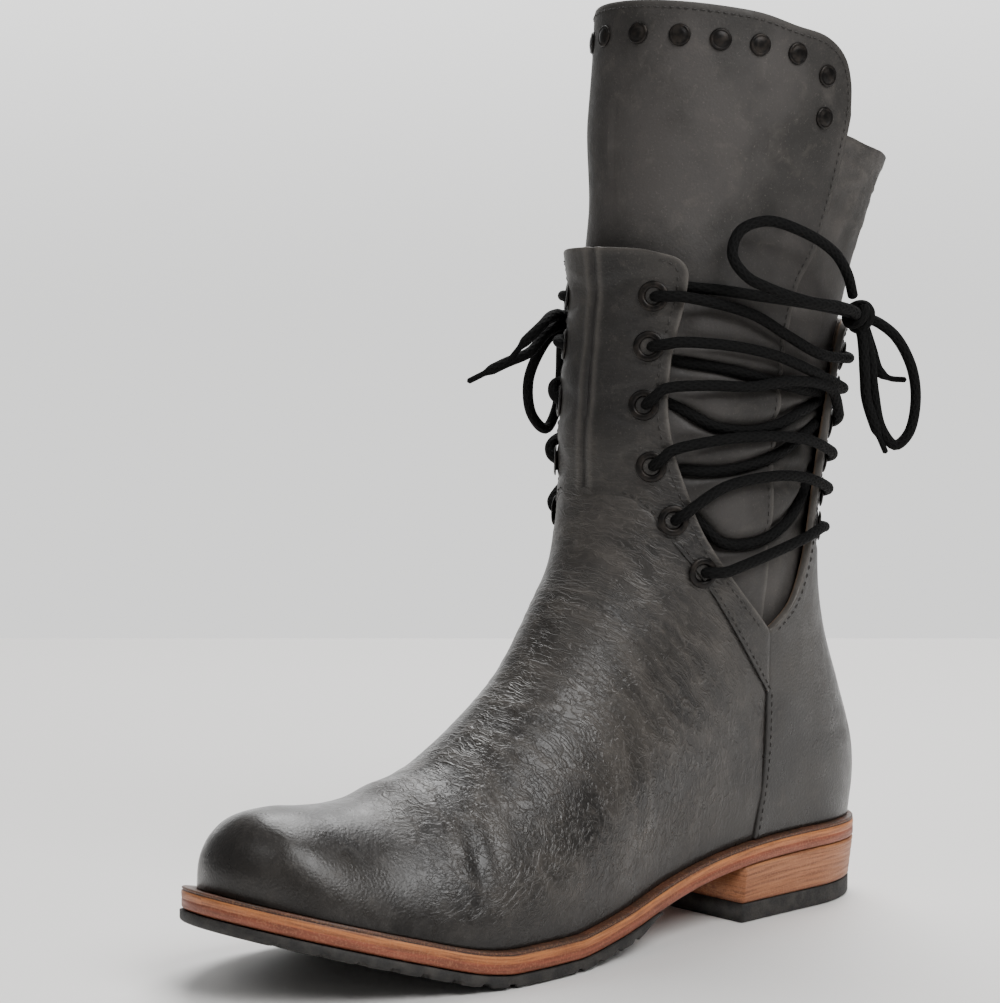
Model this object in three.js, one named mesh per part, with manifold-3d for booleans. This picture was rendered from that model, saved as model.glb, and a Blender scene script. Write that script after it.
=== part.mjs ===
// A left ankle boot with side lacing: hollow leather upper, taller inner shaft,
// leather midsole, rubber forefoot sole and a stacked heel. Millimetres, +Z up, toe
// towards -Y, lateral side towards +X, origin on the floor below the middle of the heel.
import * as THREE from "three";
import { mergeVertices } from "three/addons/utils/BufferGeometryUtils.js";
import Module from "manifold-3d";

const wasm = await Module();
wasm.setup();

// Sole and heel
const soleLength = 280;
const ballWidth = 97;
const heelLength = 78;
const heelHeight = 21;
const liftThickness = 6.5;
const midsoleThickness = 7.4;
const rubberThickness = 4.2;
const toeSpring = 22;
const lipWidth = 3.8;
const insoleThickness = 2.6;

// Upper and shaft
const legHeight = 318;
const legWidth = 92;
const upperWall = 2.2;
const overlayRise = 0.8;
const shaftWall = 1.7;
const collarFlare = 4.5;

// Trim
const eyeletDiameter = 10.6;
const eyeletBore = 5.4;
const eyeletRim = 1.0;
const studDiameter = 7.6;
const studRise = 1.5;
const laceDiameter = 3.8;

// Clearance between pieces that touch on the real boot
const gap = 0.3;

const heelBack = heelLength / 2;
const toeTip = heelBack - soleLength;
const along = (share) => heelBack - share * soleLength;
const shareOf = (y) => THREE.MathUtils.clamp((heelBack - y) / soleLength, 0, 1);
const smooth = (a, b, x) => THREE.MathUtils.smoothstep(x, a, b);

// Smooth curve through table rows: one column as a function of another.
function columnCurve(rows, key, column) {
  const last = rows.length - 1;
  const xs = rows.map((row) => row[key]);
  const ys = rows.map((row) => row[column]);
  const slope = ys.map((_, i) => {
    const a = Math.max(i - 1, 0);
    const b = Math.min(i + 1, last);
    return (ys[b] - ys[a]) / (xs[b] - xs[a]);
  });
  return (x) => {
    const i = THREE.MathUtils.clamp(xs.findLastIndex((v) => v <= x), 0, last - 1);
    const h = xs[i + 1] - xs[i];
    const t = THREE.MathUtils.clamp((x - xs[i]) / h, 0, 1);
    const t2 = t * t;
    const t3 = t2 * t;
    const start = (2 * t3 - 3 * t2 + 1) * ys[i] + (t3 - 2 * t2 + t) * h * slope[i];
    const end = (3 * t2 - 2 * t3) * ys[i + 1] + (t3 - t2) * h * slope[i + 1];
    return start + end;
  };
}

// Underside of the midsole. at: share of the length from the heel's back; heel: share of
// the heel's height; toe: share of the toe spring. Below zero it is cut flat at the ball.
const treadline = [
  { at: 0.0, heel: 1.0, toe: 0 },
  { at: 0.12, heel: 1.03, toe: 0 },
  { at: 0.25, heel: 0.97, toe: 0 },
  { at: 0.34, heel: 0.79, toe: 0 },
  { at: 0.44, heel: 0.45, toe: 0 },
  { at: 0.53, heel: 0.16, toe: 0 },
  { at: 0.61, heel: -0.02, toe: 0 },
  { at: 0.69, heel: -0.02, toe: 0 },
  { at: 0.75, heel: 0, toe: 0.08 },
  { at: 0.82, heel: 0, toe: 0.32 },
  { at: 0.9, heel: 0, toe: 0.62 },
  { at: 1.0, heel: 0, toe: 1.0 },
];
const heelLine = columnCurve(treadline, "at", "heel");
const toeLine = columnCurve(treadline, "at", "toe");
function midsoleBottom(y) {
  const s = shareOf(y);
  const climb = (heelHeight - rubberThickness) * heelLine(s) + toeSpring * toeLine(s);
  return rubberThickness + Math.max(climb, 0);
}
const midsoleTop = (y) => midsoleBottom(y) + midsoleThickness;
const footLevel = (y) => midsoleTop(y) + gap;

// Half widths of the sole as shares of half the ball's width, and the sideways shift of
// its middle.
const soleWidths = [
  { at: 0.0, lateral: 0.62, medial: 0.61, shift: 0 },
  { at: 0.12, lateral: 0.63, medial: 0.62, shift: 0 },
  { at: 0.25, lateral: 0.67, medial: 0.6, shift: 0 },
  { at: 0.4, lateral: 0.73, medial: 0.59, shift: 0 },
  { at: 0.52, lateral: 0.885, medial: 0.71, shift: 0 },
  { at: 0.64, lateral: 0.985, medial: 0.9, shift: 0 },
  { at: 0.74, lateral: 0.985, medial: 0.965, shift: -0.01 },
  { at: 0.84, lateral: 0.9, medial: 0.925, shift: -0.075 },
  { at: 1.0, lateral: 0.84, medial: 0.83, shift: -0.134 },
];
const lateralShare = columnCurve(soleWidths, "at", "lateral");
const medialShare = columnCurve(soleWidths, "at", "medial");
const shiftShare = columnCurve(soleWidths, "at", "shift");
const halfBall = ballWidth / 2;
const toeRound = 50;
const heelRound = 36;

// Quarter of a superellipse: 0 at the edge, 1 at depth 1.
const roundPower = 2.05;
function rounded(depth) {
  const q = 1 - THREE.MathUtils.clamp(depth, 0, 1);
  return Math.pow(1 - Math.pow(q, roundPower), 1 / roundPower);
}

// Edge of the sole, side +1 lateral and -1 medial, drawn in by an inset.
function soleX(side, y, inset) {
  const s = shareOf(y);
  const width = (side > 0 ? lateralShare(s) : medialShare(s)) * halfBall - inset;
  const toe = rounded((y - toeTip - inset) / toeRound);
  const heel = rounded((heelBack - inset - y) / heelRound);
  return shiftShare(s) * halfBall + side * width * toe * heel;
}

// Closed solid from a list of triangles' corner positions.
function solidOf(points, faces) {
  const geometry = new THREE.BufferGeometry();
  geometry.setAttribute("position", new THREE.Float32BufferAttribute(points.flat(), 3));
  geometry.setIndex(faces.flat());
  return toSolid(geometry);
}
function toSolid(geometry) {
  geometry.deleteAttribute("normal");
  geometry.deleteAttribute("uv");
  const merged = mergeVertices(geometry, 1e-5);
  const vertProperties = new Float32Array(merged.attributes.position.array);
  const triVerts = new Uint32Array(merged.index.array);
  return new wasm.Manifold(new wasm.Mesh({ numProp: 3, vertProperties, triVerts }));
}
function toGeometry(solid) {
  const mesh = solid.getMesh();
  const geometry = new THREE.BufferGeometry();
  geometry.setAttribute("position", new THREE.BufferAttribute(mesh.vertProperties, 3));
  geometry.setIndex(new THREE.BufferAttribute(mesh.triVerts, 1));
  return geometry.toNonIndexed();
}

// Plate along the foot between two stations. levels, from bottom to top, give the inset
// of the edge and the height as a function of y. An end at the heel's back or the toe's
// tip closes in a point of the outline; any other end is cut square.
function solePlate(from, to, stations, levels) {
  const heelPole = from === heelBack;
  const toePole = to === toeTip;
  const turn = (t) => {
    if (heelPole && toePole) return (1 - Math.cos(Math.PI * t)) / 2;
    return heelPole ? 1 - Math.cos((Math.PI / 2) * t) : Math.sin((Math.PI / 2) * t);
  };
  const points = [];
  const faces = [];
  const rings = levels.map(({ inset, height }) => {
    const y0 = heelPole ? from - inset : from;
    const y1 = toePole ? to + inset : to;
    const rows = [];
    for (let k = 0; k <= stations; k++) {
      const y = y0 + (y1 - y0) * turn(k / stations);
      const pole = (k === 0 && heelPole) || (k === stations && toePole);
      const xs = pole ? [shiftShare(shareOf(y)) * halfBall] : [soleX(1, y, inset), soleX(-1, y, inset)];
      rows.push(xs.map((x) => points.push([x, y, height(y)]) - 1));
    }
    return rows;
  });
  const quad = (a, b, c, d) => {
    if (a !== b) faces.push([a, b, c]);
    if (c !== d) faces.push([a, c, d]);
  };
  const right = (row) => row[0];
  const left = (row) => row[row.length - 1];
  for (let level = 0; level + 1 < rings.length; level++) {
    const [low, high] = [rings[level], rings[level + 1]];
    for (let k = 0; k < stations; k++) {
      quad(right(low[k + 1]), right(low[k]), right(high[k]), right(high[k + 1]));
      quad(left(low[k]), left(low[k + 1]), left(high[k + 1]), left(high[k]));
    }
    if (!heelPole) quad(right(low[0]), left(low[0]), left(high[0]), right(high[0]));
    const end = stations;
    if (!toePole) quad(left(low[end]), right(low[end]), right(high[end]), left(high[end]));
  }
  const cap = (rows, up) => {
    for (let k = 0; k < stations; k++) {
      const [a, b, c, d] = [right(rows[k]), left(rows[k]), left(rows[k + 1]), right(rows[k + 1])];
      if (a !== b) faces.push(up ? [a, b, c] : [a, c, b]);
      if (c !== d) faces.push(up ? [a, c, d] : [a, d, c]);
    }
  };
  cap(rings[0], false);
  cap(rings[rings.length - 1], true);
  return solidOf(points, faces);
}

// Side view of the form: the line up the toe, instep and shin, and the line up the heel
// and calf. at: share of the sole's length; up: share of the leg's height.
const frontLine = [
  { at: 0.982, up: 0.106 },
  { at: 0.981, up: 0.127 },
  { at: 0.975, up: 0.143 },
  { at: 0.964, up: 0.159 },
  { at: 0.941, up: 0.175 },
  { at: 0.9, up: 0.18 },
  { at: 0.86, up: 0.177 },
  { at: 0.82, up: 0.176 },
  { at: 0.783, up: 0.18 },
  { at: 0.749, up: 0.19 },
  { at: 0.703, up: 0.201 },
  { at: 0.658, up: 0.223 },
  { at: 0.612, up: 0.252 },
  { at: 0.569, up: 0.282 },
  { at: 0.535, up: 0.316 },
  { at: 0.499, up: 0.361 },
  { at: 0.463, up: 0.409 },
  { at: 0.447, up: 0.471 },
  { at: 0.442, up: 0.55 },
  { at: 0.43, up: 0.648 },
  { at: 0.412, up: 0.765 },
  { at: 0.398, up: 0.883 },
  { at: 0.383, up: 1.01 },
];
const backLine = [
  { at: 0.006, up: 0.09 },
  { at: -0.003, up: 0.137 },
  { at: 0.0, up: 0.186 },
  { at: 0.025, up: 0.25 },
  { at: 0.057, up: 0.314 },
  { at: 0.083, up: 0.392 },
  { at: 0.082, up: 0.471 },
  { at: 0.063, up: 0.549 },
  { at: 0.031, up: 0.648 },
  { at: -0.022, up: 0.753 },
  { at: -0.069, up: 0.863 },
  { at: -0.117, up: 0.99 },
];
const lineSamples = 160;
function sideLine(rows) {
  const points = rows.map((row) => new THREE.Vector3(0, along(row.at), row.up * legHeight));
  return new THREE.CatmullRomCurve3(points, false, "centripetal").getPoints(lineSamples);
}
const front = sideLine(frontLine);
const back = sideLine(backLine);

function distanceTo(line, y, z) {
  let best = Infinity;
  for (let i = 0; i < line.length - 1; i++) {
    const [a, b] = [line[i], line[i + 1]];
    const [dy, dz] = [b.y - a.y, b.z - a.z];
    const share = ((y - a.y) * dy + (z - a.z) * dz) / (dy * dy + dz * dz);
    const t = THREE.MathUtils.clamp(share, 0, 1);
    best = Math.min(best, Math.hypot(y - a.y - t * dy, z - a.z - t * dz));
  }
  return best;
}

// Half width of the leg by height, as a share of half the leg's width at its top.
const legWidths = [
  { up: 0.0, width: 0.92 },
  { up: 0.295, width: 0.815 },
  { up: 0.471, width: 0.865 },
  { up: 0.608, width: 0.88 },
  { up: 0.785, width: 0.9 },
  { up: 1.0, width: 1.03 },
];
const legShare = columnCurve(legWidths, "up", "width");
const footTop = 30;
const ankleLevel = 135;

// y where a side line reaches a height, looked for above its first turns.
function crossing(line, z, start) {
  const i = line.findIndex((p, k) => k >= start && p.z >= z);
  return (i < 0 ? line[line.length - 1] : line[i]).y;
}
const instepStart = 70;
const heelStart = 8;
const spanAt = (z) => crossing(back, z, heelStart) - crossing(front, z, instepStart);

// Sideways place of the form's surface: side +1 is lateral, -1 medial.
function formX(side, y, z) {
  const s = shareOf(y);
  const inLeg = smooth(footTop, ankleLevel, z);
  const foot = (side > 0 ? lateralShare(s) : medialShare(s)) * halfBall - lipWidth * 0.9;
  const leg = (legShare(z / legHeight) * legWidth) / 2;
  const width = foot + (leg - foot) * inLeg;
  const half = spanAt(z) / 2;
  const frontDepth = toeRound + (half - toeRound) * inLeg;
  const backDepth = heelRound + (half - heelRound) * inLeg;
  const shin = rounded(distanceTo(front, y, z) / frontDepth);
  const calf = rounded(distanceTo(back, y, z) / backDepth);
  return shiftShare(s) * halfBall * (1 - inLeg) + side * width * shin * calf;
}

// Point of the form: around 0..1 from the heel's back over the lateral side to the toe
// and back over the medial side; up 0..1 from the feather line to the top of the leg.
function pointOnLine(line, share) {
  const f = share * (line.length - 1);
  const i = Math.min(Math.floor(f), line.length - 2);
  return line[i].clone().lerp(line[i + 1], f - i);
}
function formPoint(around, up) {
  const side = around <= 0.5 ? 1 : -1;
  const turn = around <= 0.5 ? around * 2 : 2 - around * 2;
  const tau = (1 - Math.cos(Math.PI * turn)) / 2;
  const b = pointOnLine(back, up);
  const f = pointOnLine(front, up);
  const y = b.y + (f.y - b.y) * tau;
  const straight = back[0].z + (front[0].z - back[0].z) * tau;
  const feather = footLevel(y) - straight;
  const z = b.z + (f.z - b.z) * tau + feather * Math.pow(1 - up, 7);
  return new THREE.Vector3(formX(side, y, z), y, z);
}
function formNormal(around, up) {
  const step = 0.004;
  const low = Math.max(up - step, 0);
  const high = Math.min(up + step, 1);
  const du = formPoint((around + step) % 1, up).sub(formPoint((around - step + 1) % 1, up));
  const dv = formPoint(around, high).sub(formPoint(around, low));
  return dv.cross(du).normalize();
}

// Ring of points at one height of the form, moved out by an offset that may depend on
// the place. Below the feather line the ring drops straight down by a drop.
function formRing(count, up, offset, drop = 0) {
  return Array.from({ length: count }, (_, i) => {
    const p = formPoint(i / count, up);
    const n = formNormal(i / count, up);
    const q = p.clone().addScaledVector(n, offset(p));
    return [q.x, q.y, q.z - drop];
  });
}
const skirt = 6;

// Every shell uses rows and columns of one grid, so that nested walls stay parallel.
const ringCount = 24;
const ringRows = 20;
const ringUps = (from, to) =>
  Array.from({ length: to - from + 1 }, (_, j) => (from + j) / ringRows);

// Hollow shell of the form between two offsets, from one row of the grid to another.
function formShell(outer, inner, from, to) {
  const count = ringCount;
  const wall = (offset) => {
    const rings = ringUps(from, to).map((up) => formRing(count, up, offset));
    if (from === 0) rings.unshift(formRing(count, 0, offset, skirt));
    return rings;
  };
  const outside = wall(outer);
  const inside = wall(inner).reverse();
  const loop = [...outside, ...inside];
  const points = loop.flat();
  const faces = [];
  loop.forEach((_, j) => {
    const [a, b] = [j * count, ((j + 1) % loop.length) * count];
    for (let i = 0; i < count; i++) {
      const k = (i + 1) % count;
      // The inner wall is split along the same diagonals as the outer one.
      if (j < outside.length) faces.push([a + i, b + i, b + k], [a + i, b + k, a + k]);
      else faces.push([a + i, b + i, a + k], [b + i, b + k, a + k]);
    }
  });
  return solidOf(points, faces);
}

// Lower part of the form as a full body at one offset, closed at both ends.
function formBody(offset, to) {
  const count = ringCount;
  const rings = ringUps(0, to).map((up) => formRing(count, up, () => offset));
  rings.unshift(formRing(count, 0, () => offset, skirt));
  const points = rings.flat();
  const faces = [];
  for (let j = 0; j + 1 < rings.length; j++) {
    for (let i = 0; i < count; i++) {
      const k = (i + 1) % count;
      const [a, b] = [j * count, (j + 1) * count];
      faces.push([a + i, b + i, b + k], [a + i, b + k, a + k]);
    }
  }
  const top = (rings.length - 1) * count;
  for (let i = 1; i + 1 < count - i; i++) {
    const [a, b, c, d] = [i, i + 1, count - i, count - i - 1];
    faces.push([a, b, c], [b, d, c]);
    faces.push([top + a, top + c, top + b], [top + b, top + c, top + d]);
  }
  faces.push([0, 1, count - 1], [top, top + count - 1, top + 1]);
  return solidOf(points, faces);
}

// Prism across the boot from a side-view outline of y and z.
const reach = 130;
function sidePrism(outline) {
  const shape = new THREE.Shape(outline);
  const geometry = new THREE.ExtrudeGeometry(shape, { depth: 2 * reach, bevelEnabled: false });
  const turn = new THREE.Matrix4().makeBasis(
    new THREE.Vector3(0, 1, 0),
    new THREE.Vector3(0, 0, 1),
    new THREE.Vector3(1, 0, 0),
  );
  geometry.applyMatrix4(turn).translate(-reach, 0, 0);
  return toSolid(geometry);
}
const sideSpot = ({ at, up }) => new THREE.Vector2(along(at), up * legHeight);
const sideCurve = (rows, pieces) => new THREE.SplineCurve(rows.map(sideSpot)).getPoints(pieces);

// Edges of the front shaft panel, of the back quarter and of the seams between panels.
const panelEdge = [
  { at: 0.386, up: 0.731 },
  { at: 0.372, up: 0.727 },
  { at: 0.366, up: 0.714 },
  { at: 0.373, up: 0.68 },
  { at: 0.388, up: 0.628 },
  { at: 0.396, up: 0.566 },
  { at: 0.392, up: 0.522 },
  { at: 0.378, up: 0.472 },
  { at: 0.362, up: 0.433 },
  { at: 0.338, up: 0.401 },
  { at: 0.305, up: 0.364 },
  { at: 0.268, up: 0.331 },
];
const quarterEdge = [
  { at: 0.235, up: 0.329 },
  { at: 0.201, up: 0.35 },
  { at: 0.179, up: 0.384 },
  { at: 0.163, up: 0.428 },
  { at: 0.15, up: 0.475 },
  { at: 0.137, up: 0.523 },
  { at: 0.126, up: 0.565 },
  { at: 0.113, up: 0.61 },
  { at: 0.105, up: 0.645 },
  { at: 0.092, up: 0.656 },
];
const throatFoot = { at: 0.252, up: 0.322 };
const collarFront = { at: 0.6, up: 0.734 };
const collarBack = { at: -0.3, up: 0.658 };
const skyHigh = 1.3;
function collarCut() {
  const outline = [
    sideSpot(collarFront),
    sideSpot({ at: 0.43, up: collarFront.up }),
    ...sideCurve(panelEdge, 26),
    sideSpot(throatFoot),
    ...sideCurve(quarterEdge, 20),
    sideSpot({ at: 0.07, up: collarBack.up }),
    sideSpot(collarBack),
    sideSpot({ at: collarBack.at, up: skyHigh }),
    sideSpot({ at: collarFront.at, up: skyHigh }),
  ];
  return sidePrism(outline);
}

// The front shaft panel laps over the vamp down to this seam.
const panelSeam = [
  { at: 0.56, up: 0.435 },
  { at: 0.452, up: 0.44 },
  { at: 0.424, up: 0.445 },
  { at: 0.405, up: 0.406 },
  { at: 0.358, up: 0.34 },
  { at: 0.3, up: 0.297 },
  { at: 0.246, up: 0.254 },
];
// The back quarter starts at this seam.
const sideSeam = [
  { at: 0.25, up: 0.322 },
  { at: 0.246, up: 0.254 },
  { at: 0.238, up: 0.188 },
  { at: 0.239, up: 0.148 },
  { at: 0.25, up: 0.098 },
  { at: 0.262, up: 0.05 },
];
const seamWidth = 0.004;
function panelRegion() {
  const outline = [
    ...sideCurve(panelSeam, 24),
    sideSpot({ at: sideSeam[0].at + seamWidth, up: sideSeam[0].up }),
    sideSpot({ at: 0.2, up: 0.4 }),
    sideSpot({ at: 0.2, up: skyHigh }),
    sideSpot({ at: 0.56, up: skyHigh }),
  ];
  return sidePrism(outline);
}
function quarterRegion() {
  const outline = [
    ...sideCurve(sideSeam, 16),
    sideSpot({ at: -0.3, up: 0.03 }),
    sideSpot({ at: -0.3, up: skyHigh }),
    sideSpot({ at: 0.2, up: skyHigh }),
    sideSpot({ at: 0.2, up: 0.4 }),
  ];
  return sidePrism(outline);
}

// The collar of the front panel leans outwards near its top.
const flareStart = 205;
function flareAt(p) {
  const t = THREE.MathUtils.clamp((p.z - flareStart) / (collarFront.up * legHeight - flareStart), 0, 1.3);
  const atFront = smooth(along(0.3), along(0.36), p.y);
  return collarFlare * t * t * atFront;
}
const upperTop = 19;

function underfootCut() {
  return solePlate(heelBack, toeTip, 28, [
    { inset: -20, height: (y) => midsoleTop(y) - 30 },
    { inset: -20, height: footLevel },
  ]);
}
function buildUpper(bores) {
  const outer = (p) => flareAt(p);
  const inner = (p) => flareAt(p) - upperWall;
  const lining = (p) => flareAt(p) - upperWall / 2;
  const raised = (p) => flareAt(p) + overlayRise;
  const base = formShell(outer, inner, 0, upperTop);
  const layer = formShell(raised, lining, 0, upperTop);
  const overlays = panelRegion().add(quarterRegion());
  const body = base.add(layer.intersect(overlays));
  return body.subtract(collarCut()).subtract(underfootCut()).subtract(bores);
}

// Inner shaft: a tall flap round the front, lapped over a shorter piece at the back. In
// the throats it sinks in, which leaves room for the laces under the panels' edges.
const throatDip = 3.4;
const shaftEmerges = 245;
const shaftOut = 280;
function shaftOffset(p) {
  const inThroat = smooth(along(0.41), along(0.36), p.y) * smooth(along(0.05), along(0.13), p.y);
  const low = smooth(100, 122, p.z);
  const high = 1 - smooth(212, 238, p.z);
  const out = smooth(shaftEmerges, shaftOut, p.z);
  return -(upperWall + gap) * (1 - out) - throatDip * inThroat * low * high;
}
const flapTop = [
  { at: 0.6, up: 1.0 },
  { at: 0.4, up: 1.0 },
  { at: 0.33, up: 0.992 },
  { at: 0.28, up: 0.984 },
  { at: 0.235, up: 0.972 },
  { at: 0.19, up: 0.962 },
  { at: 0.16, up: 0.943 },
  { at: 0.144, up: 0.915 },
  { at: 0.138, up: 0.885 },
];
const flapEdge = [
  { at: 0.138, up: 0.885 },
  { at: 0.142, up: 0.85 },
  { at: 0.153, up: 0.79 },
  { at: 0.178, up: 0.735 },
  { at: 0.215, up: 0.69 },
  { at: 0.238, up: 0.58 },
  { at: 0.252, up: 0.43 },
  { at: 0.254, up: 0.285 },
];
const shaftLap = 0.05;
const shaftHemFront = { at: 0.6, up: 0.42 };
function flapRegion() {
  const outline = [
    ...sideCurve(flapTop, 22),
    ...sideCurve(flapEdge, 16).slice(1),
    sideSpot({ at: 0.36, up: 0.305 }),
    sideSpot(shaftHemFront),
  ];
  return sidePrism(outline);
}
const shaftBackTop = [
  { at: 0.138 + shaftLap, up: 0.865 },
  { at: 0.138, up: 0.859 },
  { at: 0.087, up: 0.85 },
  { at: 0.027, up: 0.843 },
  { at: -0.06, up: 0.835 },
  { at: -0.2, up: 0.83 },
];
function shaftBackRegion() {
  const lapped = flapEdge.slice(1).map(({ at, up }) => ({ at: at + shaftLap, up }));
  const outline = [
    ...sideCurve(shaftBackTop, 14),
    sideSpot({ at: -0.2, up: 0.285 }),
    ...sideCurve(lapped, 14).reverse(),
  ];
  return sidePrism(outline);
}
const shaftBottom = 6;
function buildFlap() {
  const outer = (p) => shaftOffset(p);
  const inner = (p) => shaftOffset(p) - shaftWall;
  return formShell(outer, inner, shaftBottom, ringRows).intersect(flapRegion());
}
function buildShaftBack() {
  const outer = (p) => shaftOffset(p) - shaftWall - gap;
  const inner = (p) => shaftOffset(p) - 2 * shaftWall - gap;
  return formShell(outer, inner, shaftBottom, ringRows).intersect(shaftBackRegion());
}

// Insole: a thin plate that fills the foot inside the upper's wall.
function buildInsole() {
  const plate = solePlate(heelBack, toeTip, 22, [
    { inset: 2, height: (y) => footLevel(y) },
    { inset: 2, height: (y) => footLevel(y) + insoleThickness },
  ]);
  return plate.intersect(formBody(-(upperWall + gap), 3));
}

const midsoleBevel = 0.8;
function buildMidsole() {
  return solePlate(heelBack, toeTip, 28, [
    { inset: midsoleBevel, height: midsoleBottom },
    { inset: 0, height: (y) => midsoleBottom(y) + midsoleBevel },
    { inset: 0, height: (y) => midsoleTop(y) - midsoleBevel },
    { inset: midsoleBevel, height: midsoleTop },
  ]);
}

// Rubber sole under the forefoot, thinned towards the waist, with grooves across it.
const rubberStart = 0.44;
const rubberTaper = 16;
const lugPitch = 10;
const lugGroove = 3.2;
const lugDepth = 1.5;
const rubberOverhang = 0.6;
function rubberBottom(y) {
  const full = smooth(0, rubberTaper, along(rubberStart) - y);
  const thick = 1.4 + (rubberThickness - 1.4) * full;
  return midsoleBottom(y) - thick;
}
function buildRubber() {
  const plate = solePlate(along(rubberStart), toeTip, 22, [
    { inset: 0.8, height: rubberBottom },
    { inset: -rubberOverhang, height: (y) => rubberBottom(y) + 0.9 },
    { inset: -rubberOverhang, height: (y) => midsoleBottom(y) - gap },
  ]);
  const flat = [along(0.61), along(0.69)];
  let grooves = null;
  const first = along(rubberStart) - rubberTaper;
  for (let y = first; y > toeTip + lugPitch; y -= lugPitch) {
    if (y < flat[0] && y > flat[1]) continue;
    const level = rubberBottom(y) - 2 + lugDepth;
    const groove = new THREE.BoxGeometry(2 * ballWidth, lugGroove, 4).translate(0, y, level);
    grooves = grooves ? grooves.add(toSolid(groove)) : toSolid(groove);
  }
  return plate.subtract(grooves);
}

const heelBreast = heelBack - heelLength;
const heelTaper = 1.4;
function buildHeel() {
  return solePlate(heelBack, heelBreast, 12, [
    { inset: heelTaper, height: () => liftThickness + gap },
    { inset: 0, height: (y) => midsoleBottom(y) - gap },
  ]);
}
function buildLift() {
  return solePlate(heelBack, heelBreast, 12, [
    { inset: heelTaper + 0.6, height: () => 0 },
    { inset: heelTaper, height: () => 0.6 },
    { inset: heelTaper, height: () => liftThickness },
  ]);
}

// Spot on the form: turn is the share of the way round from the heel's back over the
// lateral side, with its height and outward normal. The medial side is the mirror.
function surfaceSpot(side, turn, z, offset) {
  const around = side > 0 ? turn : 1 - turn;
  let [low, high] = [0, 1];
  for (let i = 0; i < 30; i++) {
    const middle = (low + high) / 2;
    if (formPoint(around, middle).z < z) low = middle;
    else high = middle;
  }
  const form = formPoint(around, low);
  const normal = formNormal(around, low);
  return { spot: form.clone().addScaledVector(normal, offset(form)), normal };
}
const panelSurface = (p) => flareAt(p) + overlayRise;
const flapSurface = (p) => shaftOffset(p);

// Eyelets: rows of the front panel and of the back quarter, the same on both sides.
const frontEyelets = [
  { turn: 0.425, up: 0.684 },
  { turn: 0.422, up: 0.631 },
  { turn: 0.422, up: 0.569 },
  { turn: 0.41, up: 0.504 },
  { turn: 0.367, up: 0.447 },
  { turn: 0.285, up: 0.391 },
];
const backEyelets = [
  { turn: 0.1, up: 0.618 },
  { turn: 0.098, up: 0.58 },
  { turn: 0.096, up: 0.542 },
  { turn: 0.092, up: 0.504 },
  { turn: 0.088, up: 0.466 },
  { turn: 0.086, up: 0.428 },
];
const sides = [
  { side: 1, label: "lateral" },
  { side: -1, label: "medial" },
];
const rows = [
  { row: "front", spots: frontEyelets },
  { row: "back", spots: backEyelets },
];
const eyeletPlaces = sides.flatMap(({ side, label }) =>
  rows.flatMap(({ row, spots }) =>
    spots.map(({ turn, up }, i) => ({
      name: `eyelet_${row}_${label}_${i + 1}`,
      ...surfaceSpot(side, turn, up * legHeight, panelSurface),
    })),
  ),
);
const eyeletSegments = 8;
const boreWall = 0.8;
function buildEyelet() {
  const bore = eyeletBore / 2;
  const barrel = bore + boreWall;
  const depth = -(upperWall + overlayRise - 0.4);
  const profile = [
    [bore, depth],
    [barrel, depth],
    [barrel, gap],
    [eyeletDiameter / 2, gap],
    [bore, eyeletRim],
    [bore, depth],
  ];
  return new THREE.LatheGeometry(profile.map(([r, h]) => new THREE.Vector2(r, h)), eyeletSegments);
}
const upright = new THREE.Vector3(0, 1, 0);
const facing = (normal) => new THREE.Quaternion().setFromUnitVectors(upright, normal);
const cutterLength = 14;
function buildBores() {
  const radius = eyeletBore / 2 + boreWall + gap;
  const cutters = eyeletPlaces.map(({ spot, normal }) => {
    const bore = new THREE.CylinderGeometry(radius, radius, cutterLength, eyeletSegments);
    return toSolid(bore.applyQuaternion(facing(normal)).translate(...spot.toArray()));
  });
  return cutters.reduce((a, b) => a.add(b));
}

// Studs along the flap's top edge and down its corners.
const studs = [
  { turn: 0.474, up: 0.9645 },
  { turn: 0.426, up: 0.961 },
  { turn: 0.385, up: 0.956 },
  { turn: 0.347, up: 0.951 },
  { turn: 0.31, up: 0.943 },
  { turn: 0.276, up: 0.921 },
  { turn: 0.271, up: 0.876 },
];
const studSegments = 8;
function buildStud() {
  const r = studDiameter / 2;
  const profile = [
    [0, gap],
    [r, gap],
    [r * 0.8, studRise],
    [0, studRise],
  ];
  return new THREE.LatheGeometry(profile.map(([x, h]) => new THREE.Vector2(x, h)), studSegments);
}
const studPlaces = sides.flatMap(({ side, label }) =>
  studs.map(({ turn, up }, i) => ({
    name: `stud_${label}_${i + 1}`,
    ...surfaceSpot(side, turn, up * legHeight, flapSurface),
  })),
);

// Round lace along a smooth path.
function lace(points, steps, corners) {
  const shape = new THREE.Shape();
  const radius = laceDiameter / 2;
  for (let i = 0; i < corners; i++) {
    const angle = (2 * Math.PI * i) / corners;
    const [x, y] = [radius * Math.cos(angle), radius * Math.sin(angle)];
    if (i === 0) shape.moveTo(x, y);
    else shape.lineTo(x, y);
  }
  shape.closePath();
  const extrudePath = new THREE.CatmullRomCurve3(points, false, "centripetal");
  const geometry = new THREE.ExtrudeGeometry(shape, { steps, extrudePath, bevelEnabled: false });
  return toSolid(geometry);
}

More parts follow.
